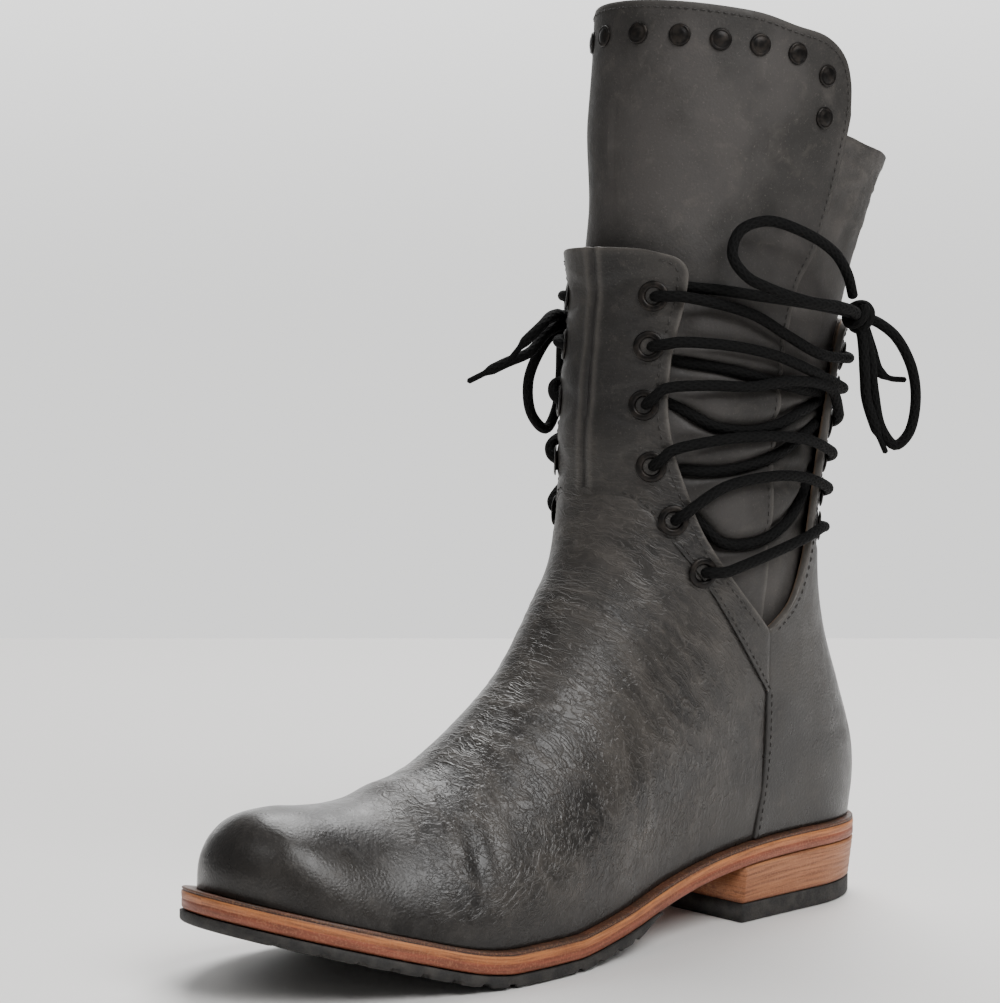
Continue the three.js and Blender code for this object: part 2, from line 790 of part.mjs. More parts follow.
// Lacing: bars zigzag over the throat from the top front eyelet to the last back one,
// and two more run to the knot. At an eyelet they leave side by side.
const laceCorners = 6;
const barSteps = 4;
const barSag = 0.7;
const barSpread = 1.3;
const laceHeight = overlayRise + eyeletRim + gap + barSag + laceDiameter / 2;
const overPanel = (p) => flareAt(p) + laceHeight;
const knots = {
  lateral: { turn: 0.178, up: 0.665 },
  medial: { turn: 0.35, up: 0.65 },
};
const knotRadius = 4.6;
const knotLift = overlayRise + gap + knotRadius + 0.6;
function buildBar(side, start, end, spread) {
  const points = Array.from({ length: barSteps + 1 }, (_, k) => {
    const t = k / barSteps;
    const turn = start.turn + (end.turn - start.turn) * t;
    const z = (start.up + (end.up - start.up) * t) * legHeight + spread * (1 - 2 * t);
    return surfaceSpot(side, turn, z, overPanel).spot;
  });
  return lace(points, barSteps, laceCorners);
}
function knotSpot(side, label) {
  const { turn, up } = knots[label];
  return surfaceSpot(side, turn, up * legHeight, (p) => flareAt(p) + knotLift).spot;
}
function buildKnot(side, label, clearance) {
  const ball = new THREE.SphereGeometry(knotRadius + clearance, 10, 7);
  return toSolid(ball.translate(...knotSpot(side, label).toArray()));
}
function buildLacing(side, label) {
  const stops = frontEyelets.flatMap((spot, i) => [spot, backEyelets[i]]);
  const bars = stops.slice(1).map((end, i) => buildBar(side, stops[i], end, -barSpread));
  bars.push(buildBar(side, frontEyelets[0], knots[label], barSpread));
  bars.push(buildBar(side, backEyelets[0], knots[label], barSpread));
  return bars.reduce((a, b) => a.add(b)).subtract(buildKnot(side, label, gap));
}

// Bows: from each knot two loops go out and come back, and two ends hang. The first
// point of each route is the knot itself. x, y, z in millimetres.
const lateralBow = [
  {
    closed: true,
    steps: 15,
    route: [
      [42, 3, 218],
      [45, -3, 225],
      [47, -12, 232.5],
      [47, -28, 239.5],
      [44, -43, 243],
      [41, -52.5, 239.5],
      [41, -56, 231.5],
      [44.5, -53, 224.5],
      [48, -46, 220.5],
      [51, -30, 216],
      [50, -12, 214],
      [47, 0, 212.5],
    ],
  },
  {
    closed: true,
    steps: 13,
    route: [
      [44, 15, 208],
      [47.5, 20, 203],
      [50.5, 25, 192],
      [51, 26.5, 180],
      [49.5, 24.5, 169],
      [46.5, 21, 165],
      [43.5, 17, 171],
      [42.5, 14, 184],
      [42, 12, 198],
    ],
  },
  {
    closed: false,
    steps: 7,
    route: [
      [43, 8, 200],
      [43.5, 8, 190],
      [43, 9.5, 182],
      [43.5, 13, 173],
      [44.5, 18, 163],
    ],
  },
  {
    closed: false,
    steps: 5,
    route: [
      [42, 14, 203],
      [40, 18, 194],
      [40, 21.5, 189.5],
      [45, 27, 188],
    ],
  },
];
const medialBow = [
  {
    closed: true,
    steps: 13,
    route: [
      [-47, -48, 214],
      [-48.5, -36, 222],
      [-48.5, -22, 227],
      [-47, -11, 224],
      [-47.5, -6, 215],
      [-50, -14, 206],
      [-52, -30, 202],
      [-49.5, -46, 203],
    ],
  },
  {
    closed: true,
    steps: 12,
    route: [
      [-43, -66, 200],
      [-45, -71, 188],
      [-46, -69, 176],
      [-47, -61, 170],
      [-48, -55, 177],
      [-48, -53, 189],
      [-46.5, -54, 199],
    ],
  },
  {
    closed: false,
    steps: 6,
    route: [
      [-41.5, -69, 204],
      [-36, -77, 198],
      [-40, -87, 194],
      [-48, -96, 188],
    ],
  },
  {
    closed: false,
    steps: 5,
    route: [
      [-42, -67, 210],
      [-34, -75, 207],
      [-35.5, -82, 201],
      [-38.5, -86, 195],
    ],
  },
];
function buildBow(side, label, strands) {
  const knot = knotSpot(side, label);
  const solids = strands.map(({ closed, steps, route }) => {
    const points = [knot, ...route.map((p) => new THREE.Vector3(...p))];
    if (closed) points.push(knot);
    return lace(points, steps, laceCorners);
  });
  return solids.reduce((a, b) => a.add(b), buildKnot(side, label, 0));
}

const finish = (color, roughness, metalness = 0) =>
  new THREE.MeshStandardMaterial({ color, roughness, metalness });
const greyLeather = finish("#57524e", 0.45);
const shaftLeather = finish("#5f5a56", 0.6);
const liningLeather = finish("#8a6f58", 0.8);
const soleLeather = finish("#8d5540", 0.55);
const stackedLeather = finish("#96684a", 0.6);
const rubber = finish("#2c2a29", 0.85);
const gunmetal = finish("#3a3633", 0.4, 1);
const cotton = finish("#1e1f1f", 0.9);

const boot = new THREE.Group();
boot.name = "left_boot";
function place(name, geometry, material) {
  const mesh = new THREE.Mesh(geometry, material);
  mesh.name = name;
  boot.add(mesh);
  return mesh;
}
function fasten(places, geometry, material) {
  for (const { name, spot, normal } of places) {
    const mesh = place(name, geometry, material);
    mesh.position.copy(spot);
    mesh.quaternion.copy(facing(normal));
  }
}
place("upper", toGeometry(buildUpper(buildBores())), greyLeather);
place("shaft_flap", toGeometry(buildFlap()), shaftLeather);
place("shaft_back", toGeometry(buildShaftBack()), shaftLeather);
place("insole", toGeometry(buildInsole()), liningLeather);
place("midsole", toGeometry(buildMidsole()), soleLeather);
place("forefoot_rubber", toGeometry(buildRubber()), rubber);
place("heel_block", toGeometry(buildHeel()), stackedLeather);
place("top_lift", toGeometry(buildLift()), rubber);
fasten(eyeletPlaces, buildEyelet(), gunmetal);
fasten(studPlaces, buildStud(), gunmetal);
const bows = { lateral: lateralBow, medial: medialBow };
for (const { side, label } of sides) {
  place(`lacing_${label}`, toGeometry(buildLacing(side, label)), cotton);
  place(`bow_${label}`, toGeometry(buildBow(side, label, bows[label])), cotton);
}
export default boot;
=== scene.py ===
"""Left leather boot with side lacing, dressed over its CAD frame.

Lengths are in millimetres until a mesh is made. +Z is up, the toe points to -Y and the
lateral side to +X. A place on the boot's side is a pair: at, the share of the sole's
length from the heel's back, and up, the share of the leg's height.
"""
import functools
import math

import bmesh
import bpy
import numpy as np
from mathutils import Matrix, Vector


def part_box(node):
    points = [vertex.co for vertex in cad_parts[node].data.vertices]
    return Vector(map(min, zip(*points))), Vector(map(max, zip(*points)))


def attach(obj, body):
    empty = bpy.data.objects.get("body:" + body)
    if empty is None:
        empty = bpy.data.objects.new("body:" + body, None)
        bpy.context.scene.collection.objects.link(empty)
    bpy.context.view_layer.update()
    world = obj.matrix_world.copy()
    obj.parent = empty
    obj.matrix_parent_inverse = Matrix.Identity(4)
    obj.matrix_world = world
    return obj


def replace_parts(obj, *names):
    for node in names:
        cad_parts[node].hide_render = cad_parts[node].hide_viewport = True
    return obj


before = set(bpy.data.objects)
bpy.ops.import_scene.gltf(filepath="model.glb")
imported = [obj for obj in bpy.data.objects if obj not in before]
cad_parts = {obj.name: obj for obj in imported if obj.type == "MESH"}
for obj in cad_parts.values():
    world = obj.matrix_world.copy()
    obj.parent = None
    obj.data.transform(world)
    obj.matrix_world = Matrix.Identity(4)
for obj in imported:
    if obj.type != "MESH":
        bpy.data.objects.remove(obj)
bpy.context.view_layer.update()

MM = 0.001

# Sole and heel
SOLE_LENGTH = 280.0
BALL_WIDTH = 97.0
HEEL_LENGTH = 78.0
HEEL_HEIGHT = 21.0
LIFT_THICKNESS = 6.5
MIDSOLE_THICKNESS = 7.4
RUBBER_THICKNESS = 4.2
TOE_SPRING = 22.0
LIP_WIDTH = 3.8
HEEL_BACK = HEEL_LENGTH / 2
TOE_TIP = HEEL_BACK - SOLE_LENGTH
HALF_BALL = BALL_WIDTH / 2
TOE_ROUND = 50.0
HEEL_ROUND = 36.0
ROUND_POWER = 2.05

# Upper and shaft
LEG_HEIGHT = 318.0
LEG_WIDTH = 92.0
FOOT_TOP = 30.0
ANKLE_LEVEL = 135.0
TOP_LEVEL = 0.734 * LEG_HEIGHT
COLLAR_FLARE = 4.5
FLARE_START = 205.0
UPPER_WALL = 2.2
OVERLAY_RISE = 0.8
SHAFT_WALL = 1.7
THROAT_DIP = 3.4
GAP = 0.3

# Trim
LACE_RADIUS = 1.9
STRANDS = 7
STITCH_LENGTH = 2.3

# Underside of the midsole: at, share of the heel's height, share of the toe spring
TREADLINE = np.array([
    (0.0, 1.0, 0), (0.12, 1.03, 0), (0.25, 0.97, 0), (0.34, 0.79, 0), (0.44, 0.45, 0),
    (0.53, 0.16, 0), (0.61, -0.02, 0), (0.69, -0.02, 0), (0.75, 0, 0.08),
    (0.82, 0, 0.32), (0.9, 0, 0.62), (1.0, 0, 1.0),
])
# Half widths of the sole: at, lateral, medial, shift, as shares of half the ball's width
SOLE_WIDTHS = np.array([
    (0.0, 0.62, 0.61, 0), (0.12, 0.63, 0.62, 0), (0.25, 0.67, 0.6, 0),
    (0.4, 0.73, 0.59, 0), (0.52, 0.885, 0.71, 0), (0.64, 0.985, 0.9, 0),
    (0.74, 0.985, 0.965, -0.01), (0.84, 0.9, 0.925, -0.075), (1.0, 0.84, 0.83, -0.134),
])
# Half width of the leg: up, share of half the leg's width
LEG_WIDTHS = np.array([
    (0.0, 0.92), (0.295, 0.815), (0.471, 0.865), (0.608, 0.88), (0.785, 0.9), (1.0, 1.03),
])
# Side view of the form, as (at, up)
FRONT_LINE = [
    (0.983, 0.082), (0.983, 0.106), (0.981, 0.127), (0.975, 0.143), (0.964, 0.159),
    (0.941, 0.175), (0.9, 0.18), (0.86, 0.177), (0.82, 0.176), (0.783, 0.18), (0.749, 0.19),
    (0.703, 0.201), (0.658, 0.223), (0.612, 0.252), (0.569, 0.282), (0.535, 0.316),
    (0.499, 0.361), (0.463, 0.409), (0.447, 0.471), (0.442, 0.55), (0.43, 0.648),
    (0.412, 0.765), (0.398, 0.883), (0.383, 1.01),
]
BACK_LINE = [
    (0.006, 0.09), (-0.003, 0.137), (0.0, 0.186), (0.025, 0.25), (0.057, 0.314),
    (0.083, 0.392), (0.082, 0.471), (0.063, 0.549), (0.031, 0.648), (-0.022, 0.753),
    (-0.069, 0.863), (-0.117, 0.99),
]
# Edges and seams of the panels, as (at, up)
PANEL_EDGE = [
    (0.387, 0.7285), (0.376, 0.7235), (0.3685, 0.712), (0.373, 0.68), (0.388, 0.628),
    (0.396, 0.566), (0.392, 0.522), (0.378, 0.472), (0.362, 0.433), (0.338, 0.401),
    (0.304, 0.367), (0.27, 0.3375), (0.252, 0.322),
]
QUARTER_EDGE = [
    (0.25, 0.322), (0.235, 0.329), (0.201, 0.35), (0.179, 0.384), (0.163, 0.428),
    (0.15, 0.475), (0.137, 0.523), (0.126, 0.565), (0.113, 0.61), (0.105, 0.64),
    (0.096, 0.652), (0.085, 0.655),
]
PANEL_SEAM = [
    (0.4472, 0.471), (0.441, 0.4725), (0.432, 0.471), (0.421, 0.459), (0.401, 0.431),
    (0.364, 0.387), (0.3, 0.3125), (0.244, 0.252),
]
SIDE_SEAM = [
    (0.262, 0.05), (0.256, 0.075), (0.25, 0.098), (0.239, 0.148), (0.238, 0.188),
    (0.244, 0.252),
]
FLAP_TOP = [
    (0.384, 1.0), (0.33, 0.992), (0.28, 0.984), (0.235, 0.972), (0.19, 0.962),
    (0.16, 0.943), (0.144, 0.915), (0.138, 0.885),
]
FLAP_EDGE = [
    (0.254, 0.285), (0.252, 0.43), (0.238, 0.58), (0.215, 0.69), (0.178, 0.735),
    (0.153, 0.79), (0.142, 0.85), (0.138, 0.885),
]


def place(pairs):
    """Side-view places in millimetres, as (y, z), from pairs of at and up."""
    pairs = np.asarray(pairs, float)
    return np.stack([HEEL_BACK - pairs[:, 0] * SOLE_LENGTH, pairs[:, 1] * LEG_HEIGHT], 1)


def hermite(t, a, b, leave, arrive):
    """Cubic from a to b with the given tangents, at t from 0 to 1."""
    start = (2 * t**3 - 3 * t**2 + 1) * a + (t**3 - 2 * t**2 + t) * leave
    end = (3 * t**2 - 2 * t**3) * b + (t**3 - t**2) * arrive
    return start + end


def column(table, k):
    """Smooth function through one column of a table against its first: a cubic in each
    gap, whose slopes are those of the chords between the rows on either side."""
    xs, ys = table[:, 0], table[:, k]
    low = np.maximum(np.arange(len(xs)) - 1, 0)
    high = np.minimum(np.arange(len(xs)) + 1, len(xs) - 1)
    slope = (ys[high] - ys[low]) / (xs[high] - xs[low])

    def value(x):
        """The column's value at x, held beyond the first and the last row."""
        i = np.clip(np.searchsorted(xs, x, side="right") - 1, 0, len(xs) - 2)
        h = xs[i + 1] - xs[i]
        t = np.clip((x - xs[i]) / h, 0, 1)
        return hermite(t, ys[i], ys[i + 1], h * slope[i], h * slope[i + 1])

    return value


def smooth_line(points, count):
    """Centripetal spline through points: in each span a cubic whose tangents weigh the
    chords by the square root of their lengths, read at even steps of its parameter."""
    p = np.asarray(points, float)
    p = np.vstack([2 * p[0] - p[1], p, 2 * p[-1] - p[-2]])
    t = np.linspace(0, len(points) - 1, count)
    i = np.minimum(t.astype(int), len(points) - 2)
    t = (t - i)[:, None]
    a, b, c, d = p[i], p[i + 1], p[i + 2], p[i + 3]
    ab, bc, cd = (np.sqrt(np.linalg.norm(q, axis=1))[:, None] for q in (b - a, c - b, d - c))
    leave = ((b - a) / ab - (c - a) / (ab + bc) + (c - b) / bc) * bc
    arrive = ((c - b) / bc - (d - b) / (bc + cd) + (d - c) / cd) * bc
    return hermite(t, b, c, leave, arrive)


def lengths(line):
    """Arc length from a line's start to each of its points."""
    return np.append(0, np.cumsum(np.linalg.norm(np.diff(line, axis=0), axis=1)))


def spread(line, shares):
    """Points at the given shares of a line's arc length."""
    run = lengths(line)
    return np.stack([np.interp(np.asarray(shares) * run[-1], run, c) for c in line.T], -1)


def shifted(line, by):
    """Side-view line moved sideways by a distance, to its left if that is positive."""
    way = np.gradient(line, axis=0)
    way /= np.linalg.norm(way, axis=1, keepdims=True)
    return line + by * np.stack([-way[:, 1], way[:, 0]], 1)


def smoothstep(low, high, x):
    """0 below low, 1 above high and a cubic between."""
    t = np.clip((x - low) / (high - low), 0, 1)
    return t * t * (3 - 2 * t)


def bell(x):
    """1 at 0, falling off on both sides over a width of about 1."""
    return np.exp(-(x**2))


def rounded(depth):
    """Quarter of a superellipse: 0 at depth 0 and 1 from depth 1 on."""
    q = 1 - np.clip(depth, 0, 1)
    return (1 - q**ROUND_POWER) ** (1 / ROUND_POWER)


# Form

heel_share, toe_share = column(TREADLINE, 1), column(TREADLINE, 2)
lateral_share, medial_share = column(SOLE_WIDTHS, 1), column(SOLE_WIDTHS, 2)
shift_share = column(SOLE_WIDTHS, 3)
leg_share = column(LEG_WIDTHS, 1)
front = smooth_line(place(FRONT_LINE), 801)
back = smooth_line(place(BACK_LINE), 801)
# Indexes of points on these lines: where the shin and the calf start and where the toe's part,
# which runs up to the instep, ends
SHIN_START = 365
CALF_START = 40
TOE_END = 570


def at_of(y):
    """Share of the sole's length from the heel's back, beyond 0 and 1 outside it."""
    return (HEEL_BACK - y) / SOLE_LENGTH


def share_of(y):
    """Share of the sole's length from the heel's back, held between 0 and 1."""
    return np.clip(at_of(y), 0, 1)


def midsole_bottom(y):
    """Height of the midsole's underside: the rubber's thickness plus the climb to the
    heel and to the toe, never below the flat stretch at the ball."""
    s = share_of(y)
    climb = (HEEL_HEIGHT - RUBBER_THICKNESS) * heel_share(s) + TOE_SPRING * toe_share(s)
    return RUBBER_THICKNESS + np.maximum(climb, 0)


def foot_level(y):
    """Height where the upper meets the midsole."""
    return midsole_bottom(y) + MIDSOLE_THICKNESS + GAP


def sole_x(side, y, inset):
    """Edge of the sole: the table's half width, rounded off at the toe and the heel."""
    s = share_of(y)
    width = np.where(side > 0, lateral_share(s), medial_share(s)) * HALF_BALL - inset
    toe = rounded((y - TOE_TIP - inset) / TOE_ROUND)
    heel = rounded((HEEL_BACK - inset - y) / HEEL_ROUND)
    return shift_share(s) * HALF_BALL + side * width * toe * heel


def offset_from(line, y, z, stride=8):
    """Distance in the side view to a line, positive to the left of its run: the nearest
    of every eighth point picks a window, and the nearest of the window's segments gives
    the distance and the side."""
    p = np.stack([np.ravel(y), np.ravel(z)], 1)
    coarse = line[::stride]
    apart = (p[:, :1] - coarse[:, 0]) ** 2 + (p[:, 1:] - coarse[:, 1]) ** 2
    closest = np.argmin(apart, 1) * stride
    window = np.clip(closest[:, None] + np.arange(-stride, stride), 0, len(line) - 2)
    a = line[window]
    chord = line[window + 1] - a
    reach = p[:, None] - a
    t = np.clip((reach * chord).sum(2) / (chord * chord).sum(2), 0, 1)
    apart = np.linalg.norm(reach - t[..., None] * chord, axis=2)
    turn = np.sign(chord[..., 0] * reach[..., 1] - chord[..., 1] * reach[..., 0])
    best = np.argmin(apart, 1)[:, None]
    apart, turn = (np.take_along_axis(q, best, 1).reshape(np.shape(y)) for q in (apart, turn))
    return apart * turn


def distance(line, y, z):
    """Distance in the side view to a line, whichever the side."""
    return np.abs(offset_from(line, y, z))


TOE_SAMPLES = 240
SOFT_POWER = 6
SOFT_NORM = math.sqrt(math.pi) * math.gamma((SOFT_POWER - 1) / 2) / math.gamma(SOFT_POWER / 2)
toe_line = spread(front[:TOE_END], np.linspace(0, 1, TOE_SAMPLES))
toe_step = lengths(front[:TOE_END])[-1] / (TOE_SAMPLES - 1)


def front_depth(y, z):
    """Depth behind the front line. Deep in the toe the plain distance has a crease along
    the middle of the bend, so there it gives way to the power mean of the distances to
    all of the line, which is smooth."""
    depth = -offset_from(front, y, z)
    weight = smoothstep(-110, -165, y) * smoothstep(3, 12, depth)
    near = weight > 0
    if np.any(near):
        far = (y[near][:, None] - toe_line[:, 0]) ** 2 + (z[near][:, None] - toe_line[:, 1]) ** 2
        total = (far ** (-SOFT_POWER / 2)).sum(1) * toe_step / SOFT_NORM
        soft = total ** (-1 / (SOFT_POWER - 1))
        depth[near] += (soft - depth[near]) * weight[near]
    return depth


def half_widths(side, y, z):
    """Middle and half width of the form: the foot's below, the leg's above, blended
    over the ankle."""
    s = share_of(y)
    in_leg = smoothstep(FOOT_TOP, ANKLE_LEVEL, z)
    foot = np.where(side > 0, lateral_share(s), medial_share(s)) * HALF_BALL - LIP_WIDTH * 0.9
    leg = leg_share(z / LEG_HEIGHT) * LEG_WIDTH / 2
    return shift_share(s) * HALF_BALL * (1 - in_leg), foot + (leg - foot) * in_leg


def bulge(depth, reach):
    """Square of a superellipse's quarter, carried on below 0 outside the form."""
    return np.sign(depth) * rounded(np.abs(depth) / reach) ** 2


def fullness(y, z):
    """Square of the share of the half width: one rounding behind the front line times
    one ahead of the back line, each as deep as half the leg, or as the toe or the heel."""
    in_leg = smoothstep(FOOT_TOP, ANKLE_LEVEL, z)
    shin = np.interp(z, front[SHIN_START:, 1], front[SHIN_START:, 0])
    calf = np.interp(z, back[CALF_START:, 1], back[CALF_START:, 0])
    half = (calf - shin) / 2
    front_round = TOE_ROUND + (half - TOE_ROUND) * in_leg
    back_round = HEEL_ROUND + (half - HEEL_ROUND) * in_leg
    rear_depth = offset_from(back, y, z)
    return bulge(front_depth(y, z), front_round) * bulge(rear_depth, back_round)


def form_x(side, y, z):
    """Sideways place of the form: its middle plus its half width times its fullness."""
    middle, width = half_widths(side, y, z)
    return middle + side * width * np.sqrt(np.maximum(fullness(y, z), 0))


def outward(side, x, y, z, step=0.4):
    """Outward unit normal: the slope, by small steps, of the square of the place across
    less the fullness, which is zero all over the form."""

    def level(y, z):
        """What is zero on the form, at a place that keeps its x."""
        middle, width = half_widths(side, y, z)
        return ((x - middle) / width) ** 2 - fullness(y, z)

    middle, width = half_widths(side, y, z)
    n = np.stack([
        2 * (x - middle) / width**2,
        (level(y + step, z) - level(y - step, z)) / (2 * step),
        (level(y, z + step) - level(y, z - step)) / (2 * step),
    ], -1)
    return n / np.maximum(np.linalg.norm(n, axis=-1, keepdims=True), 1e-9)


def skin(side, y, z):
    """Points of the form and their outward normals at side-view places."""
    y, z = np.asarray(y, float), np.asarray(z, float)
    x = form_x(side, y, z)
    return np.stack([x, y, z], -1), outward(side, x, y, z)


def flare(y, z):
    """How far the front panel's collar leans out: the square of the height over it."""
    t = np.clip((z - FLARE_START) / (TOP_LEVEL - FLARE_START), 0, 1.3)
    return COLLAR_FLARE * t * t * smoothstep(HEEL_BACK - 84, HEEL_BACK - 101, y)


def throat_share(y, z):
    """1 in the middle of a side's throat, 0 outside it."""
    along = smoothstep(0.41, 0.36, at_of(y)) * smoothstep(0.05, 0.13, at_of(y))
    return along * smoothstep(100, 122, z) * (1 - smoothstep(212, 238, z))


def shaft_level(y, z):
    """Offset of the inner shaft's face from the form: under the upper's wall below, out
    to the form above, and sunk further in the throats."""
    under = (UPPER_WALL + GAP) * (1 - smoothstep(245, 280, z))
    return -under - THROAT_DIP * throat_share(y, z)


# Folds

def noise(points, seed):
    """Value noise from -1 to 1: random numbers on a lattice, blended with smooth steps
    along each axis."""
    size = 32
    table = np.random.default_rng(seed).uniform(-1, 1, (size, size, size))
    cell = np.floor(points).astype(int)
    t = points - cell
    t = t * t * (3 - 2 * t)
    total = 0
    for corner in np.ndindex(2, 2, 2):
        pick = np.array(corner)
        weight = np.prod(np.where(pick, t, 1 - t), axis=-1)
        i, j, k = np.moveaxis((cell + pick) % size, -1, 0)
        total = total + weight * table[i, j, k]
    return total


def folds(across, along, width, length, seed):
    """Creases about width apart that run on for length: the fold of value noise over
    stretched and gently bent coordinates, 1 on a ridge and 0 between ridges."""
    flat = np.zeros_like(across)
    bend = noise(np.stack([across / 23, along / 23, flat], -1), seed)
    p = np.stack([across / width + 1.6 * bend, along / length + 0.4 * bend, flat], -1)
    fine = noise(p + 7.3, seed + 1)
    return (1 - np.abs(fine)) ** 4


# Mesh making

def mesh_piece(name, points, faces, values=None, uv=None):
    """Object at the origin from points in millimetres and faces, with its values per
    point and its UV per corner, after doubles are merged and faces turned outwards."""
    mesh = bpy.data.meshes.new(name)
    mesh.from_pydata((np.asarray(points) * MM).tolist(), [], [list(f) for f in faces])
    for label, data in (values or {}).items():
        attribute = mesh.attributes.new(label, "FLOAT", "POINT")
        attribute.data.foreach_set("value", np.ravel(data).astype(np.float32))
    if uv is not None:
        layer = mesh.uv_layers.new(name="UVMap")
        layer.data.foreach_set("uv", np.ravel(uv).astype(np.float32))
    work = bmesh.new()
    work.from_mesh(mesh)
    bmesh.ops.remove_doubles(work, verts=work.verts, dist=2e-6)
    bmesh.ops.dissolve_degenerate(work, edges=work.edges, dist=1e-7)
    bmesh.ops.recalc_face_normals(work, faces=work.faces)
    work.to_mesh(mesh)
    work.free()
    mesh.polygons.foreach_set("use_smooth", [True] * len(mesh.polygons))
    piece = bpy.data.objects.new(name, mesh)
    bpy.context.scene.collection.objects.link(piece)
    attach(piece, "root")
    return piece


def grid_faces(rows, cols, start=0, wrap=False):
    """Quads of a grid of points numbered row by row, closed round its columns if asked."""
    i, j = np.meshgrid(np.arange(rows - 1), np.arange(cols if wrap else cols - 1), indexing="ij")
    k = (j + 1) % cols
    quads = np.stack([i * cols + j, i * cols + k, (i + 1) * cols + k, (i + 1) * cols + j], -1)
    return quads.reshape(-1, 4) + start


def mirrored(half):
    """Both sides from one: the medial columns in reverse, then the lateral ones."""
    return np.concatenate([half[:, :0:-1], half], 1)


def patch(bottom, top, left, right, rows, cols):
    """Coons patch between four side-view lines: the blend of opposite sides less the
    blend of the corners. Columns crowd towards the left, where the form curves most."""
    u = 1 - np.cos(np.linspace(0, 1, cols) * math.pi / 2)
    v = np.linspace(0, 1, rows)
    low, high = spread(bottom, u), spread(top, u)
    near, far = spread(left, v), spread(right, v)
    u, v = u[None, :, None], v[:, None, None]
    edges = (1 - v) * low[None] + v * high[None] + (1 - u) * near[:, None] + u * far[:, None]
    corners = (1 - v) * ((1 - u) * low[0] + u * low[-1]) + v * ((1 - u) * high[0] + u * high[-1])
    return edges - corners


RIM_STEPS = 5
RIM_BULGE = 0.35


def sheet(name, yz, outer, inner, values):
    """Closed leather piece over the form: a grid at one offset, a grid at a lower one
    and rims between their edges, bulged by a share of a half circle."""
    y, z = mirrored(yz[..., 0]), mirrored(yz[..., 1])
    cols = yz.shape[1]
    side = np.broadcast_to(np.where(np.arange(2 * cols - 1) < cols - 1, -1.0, 1.0), y.shape)
    base, normal = skin(side, y, z)
    high = base + normal * outer(y, z, side)[..., None]
    low = base + normal * inner(y, z, side)[..., None]
    rows, cols = y.shape
    r = np.concatenate([np.zeros(cols - 1), np.arange(rows - 1), np.full(cols - 1, rows - 1),
                        np.arange(rows - 1, 0, -1)]).astype(int)
    c = np.concatenate([np.arange(cols - 1), np.full(rows - 1, cols - 1),
                        np.arange(cols - 1, 0, -1), np.zeros(rows - 1)]).astype(int)
    out = high[r, c] - high[np.clip(r, 1, rows - 2), np.clip(c, 1, cols - 2)]
    out = out / np.maximum(np.linalg.norm(out, axis=1, keepdims=True), 1e-6)
    middle, half = (high[r, c] + low[r, c]) / 2, (high[r, c] - low[r, c]) / 2
    bulge = np.linalg.norm(half, axis=1, keepdims=True) * out
    angles = np.linspace(0, math.pi, RIM_STEPS + 2)[1:-1]
    rings = [middle + math.cos(a) * half + math.sin(a) * RIM_BULGE * bulge for a in angles]
    points = np.vstack([high.reshape(-1, 3), *rings, low.reshape(-1, 3)])
    count, edge = rows * cols, len(r)
    top = grid_faces(rows, cols)
    under = grid_faces(rows, cols, count + RIM_STEPS * edge)[:, ::-1]
    loops = [r * cols + c, *[count + k * edge + np.arange(edge) for k in range(RIM_STEPS)],
             count + RIM_STEPS * edge + r * cols + c]
    strips = [np.stack([a, b, np.roll(b, -1), np.roll(a, -1)], 1)
              for a, b in zip(loops, loops[1:])]
    data = {}
    for label, function in values.items():
        v = function(y, z, side)
        data[label] = np.concatenate([v.ravel(), *[v[r, c]] * RIM_STEPS, v.ravel()])
    steps = np.arange(1, RIM_STEPS + 1) / (RIM_STEPS + 1)
    data["inside"] = np.concatenate([np.zeros(count), np.repeat(steps, edge), np.ones(count)])
    return mesh_piece(name, points, np.vstack([top, under, *strips]), data)


def near(line, y, z, width):
    """1 on a side-view line, falling off as a bell of the given width."""
    return bell(distance(line, y, z) / width)


# Camera: fitted to the outlines of the sole and the leg in the photograph
CAMERA_PLACE = (0.7055, -0.7381, 0.2218)
CAMERA_TURN = 48.95
CAMERA_DIP = 4.41
CAMERA_LENS = 101.5


def make_camera():
    """Camera at the photograph's angle."""
    data = bpy.data.cameras.new("camera")
    data.sensor_width = 36
    data.sensor_fit = "HORIZONTAL"
    data.lens = CAMERA_LENS
    data.clip_start = 0.05
    camera = bpy.data.objects.new("camera", data)
    camera.location = CAMERA_PLACE
    camera.rotation_euler = (math.radians(90 - CAMERA_DIP), 0, math.radians(CAMERA_TURN))
    bpy.context.scene.collection.objects.link(camera)
    bpy.context.scene.camera = camera


make_camera()


# Materials

SMOOTH = {"interpolation_type": "SMOOTHSTEP"}
COLOUR = {"data_type": "RGBA"}
TIMES = {"operation": "MULTIPLY"}
TIMES_PLUS = {"operation": "MULTIPLY_ADD"}


def linear(code):
    """Linear colour from an sRGB hex value."""
    c = np.array([int(code[i:i + 2], 16) for i in (1, 3, 5)]) / 255
    c = np.where(c <= 0.04045, c / 12.92, ((c + 0.055) / 1.055) ** 2.4)
    return (*[float(v) for v in c], 1.0)


def add(tree, kind, inputs=(), out=0, **settings):
    """Add a node and give one of its outputs, or the node itself if none is asked for.
    Inputs are values or links, in order or by name, and settings are its properties."""
    made = tree.nodes.new("ShaderNode" + kind)
    for label, value in settings.items():
        setattr(made, label, value)
    for label, value in inputs.items() if isinstance(inputs, dict) else enumerate(inputs):
        if isinstance(value, bpy.types.NodeSocket):
            tree.links.new(value, made.inputs[label])
        else:
            made.inputs[label].default_value = value
    return made if out is None else made.outputs[out]


def start(name):
    """New material, the function that adds nodes to its tree, its object coordinates and
    its shader."""
    material = bpy.data.materials.new(name)
    material.use_nodes = True
    material.node_tree.nodes.clear()
    node = functools.partial(add, material.node_tree)
    shader = node("BsdfPrincipled", out=None)
    node("OutputMaterial", {"Surface": shader.outputs[0]}, None)
    return material, node, node("TexCoord", out="Object"), shader


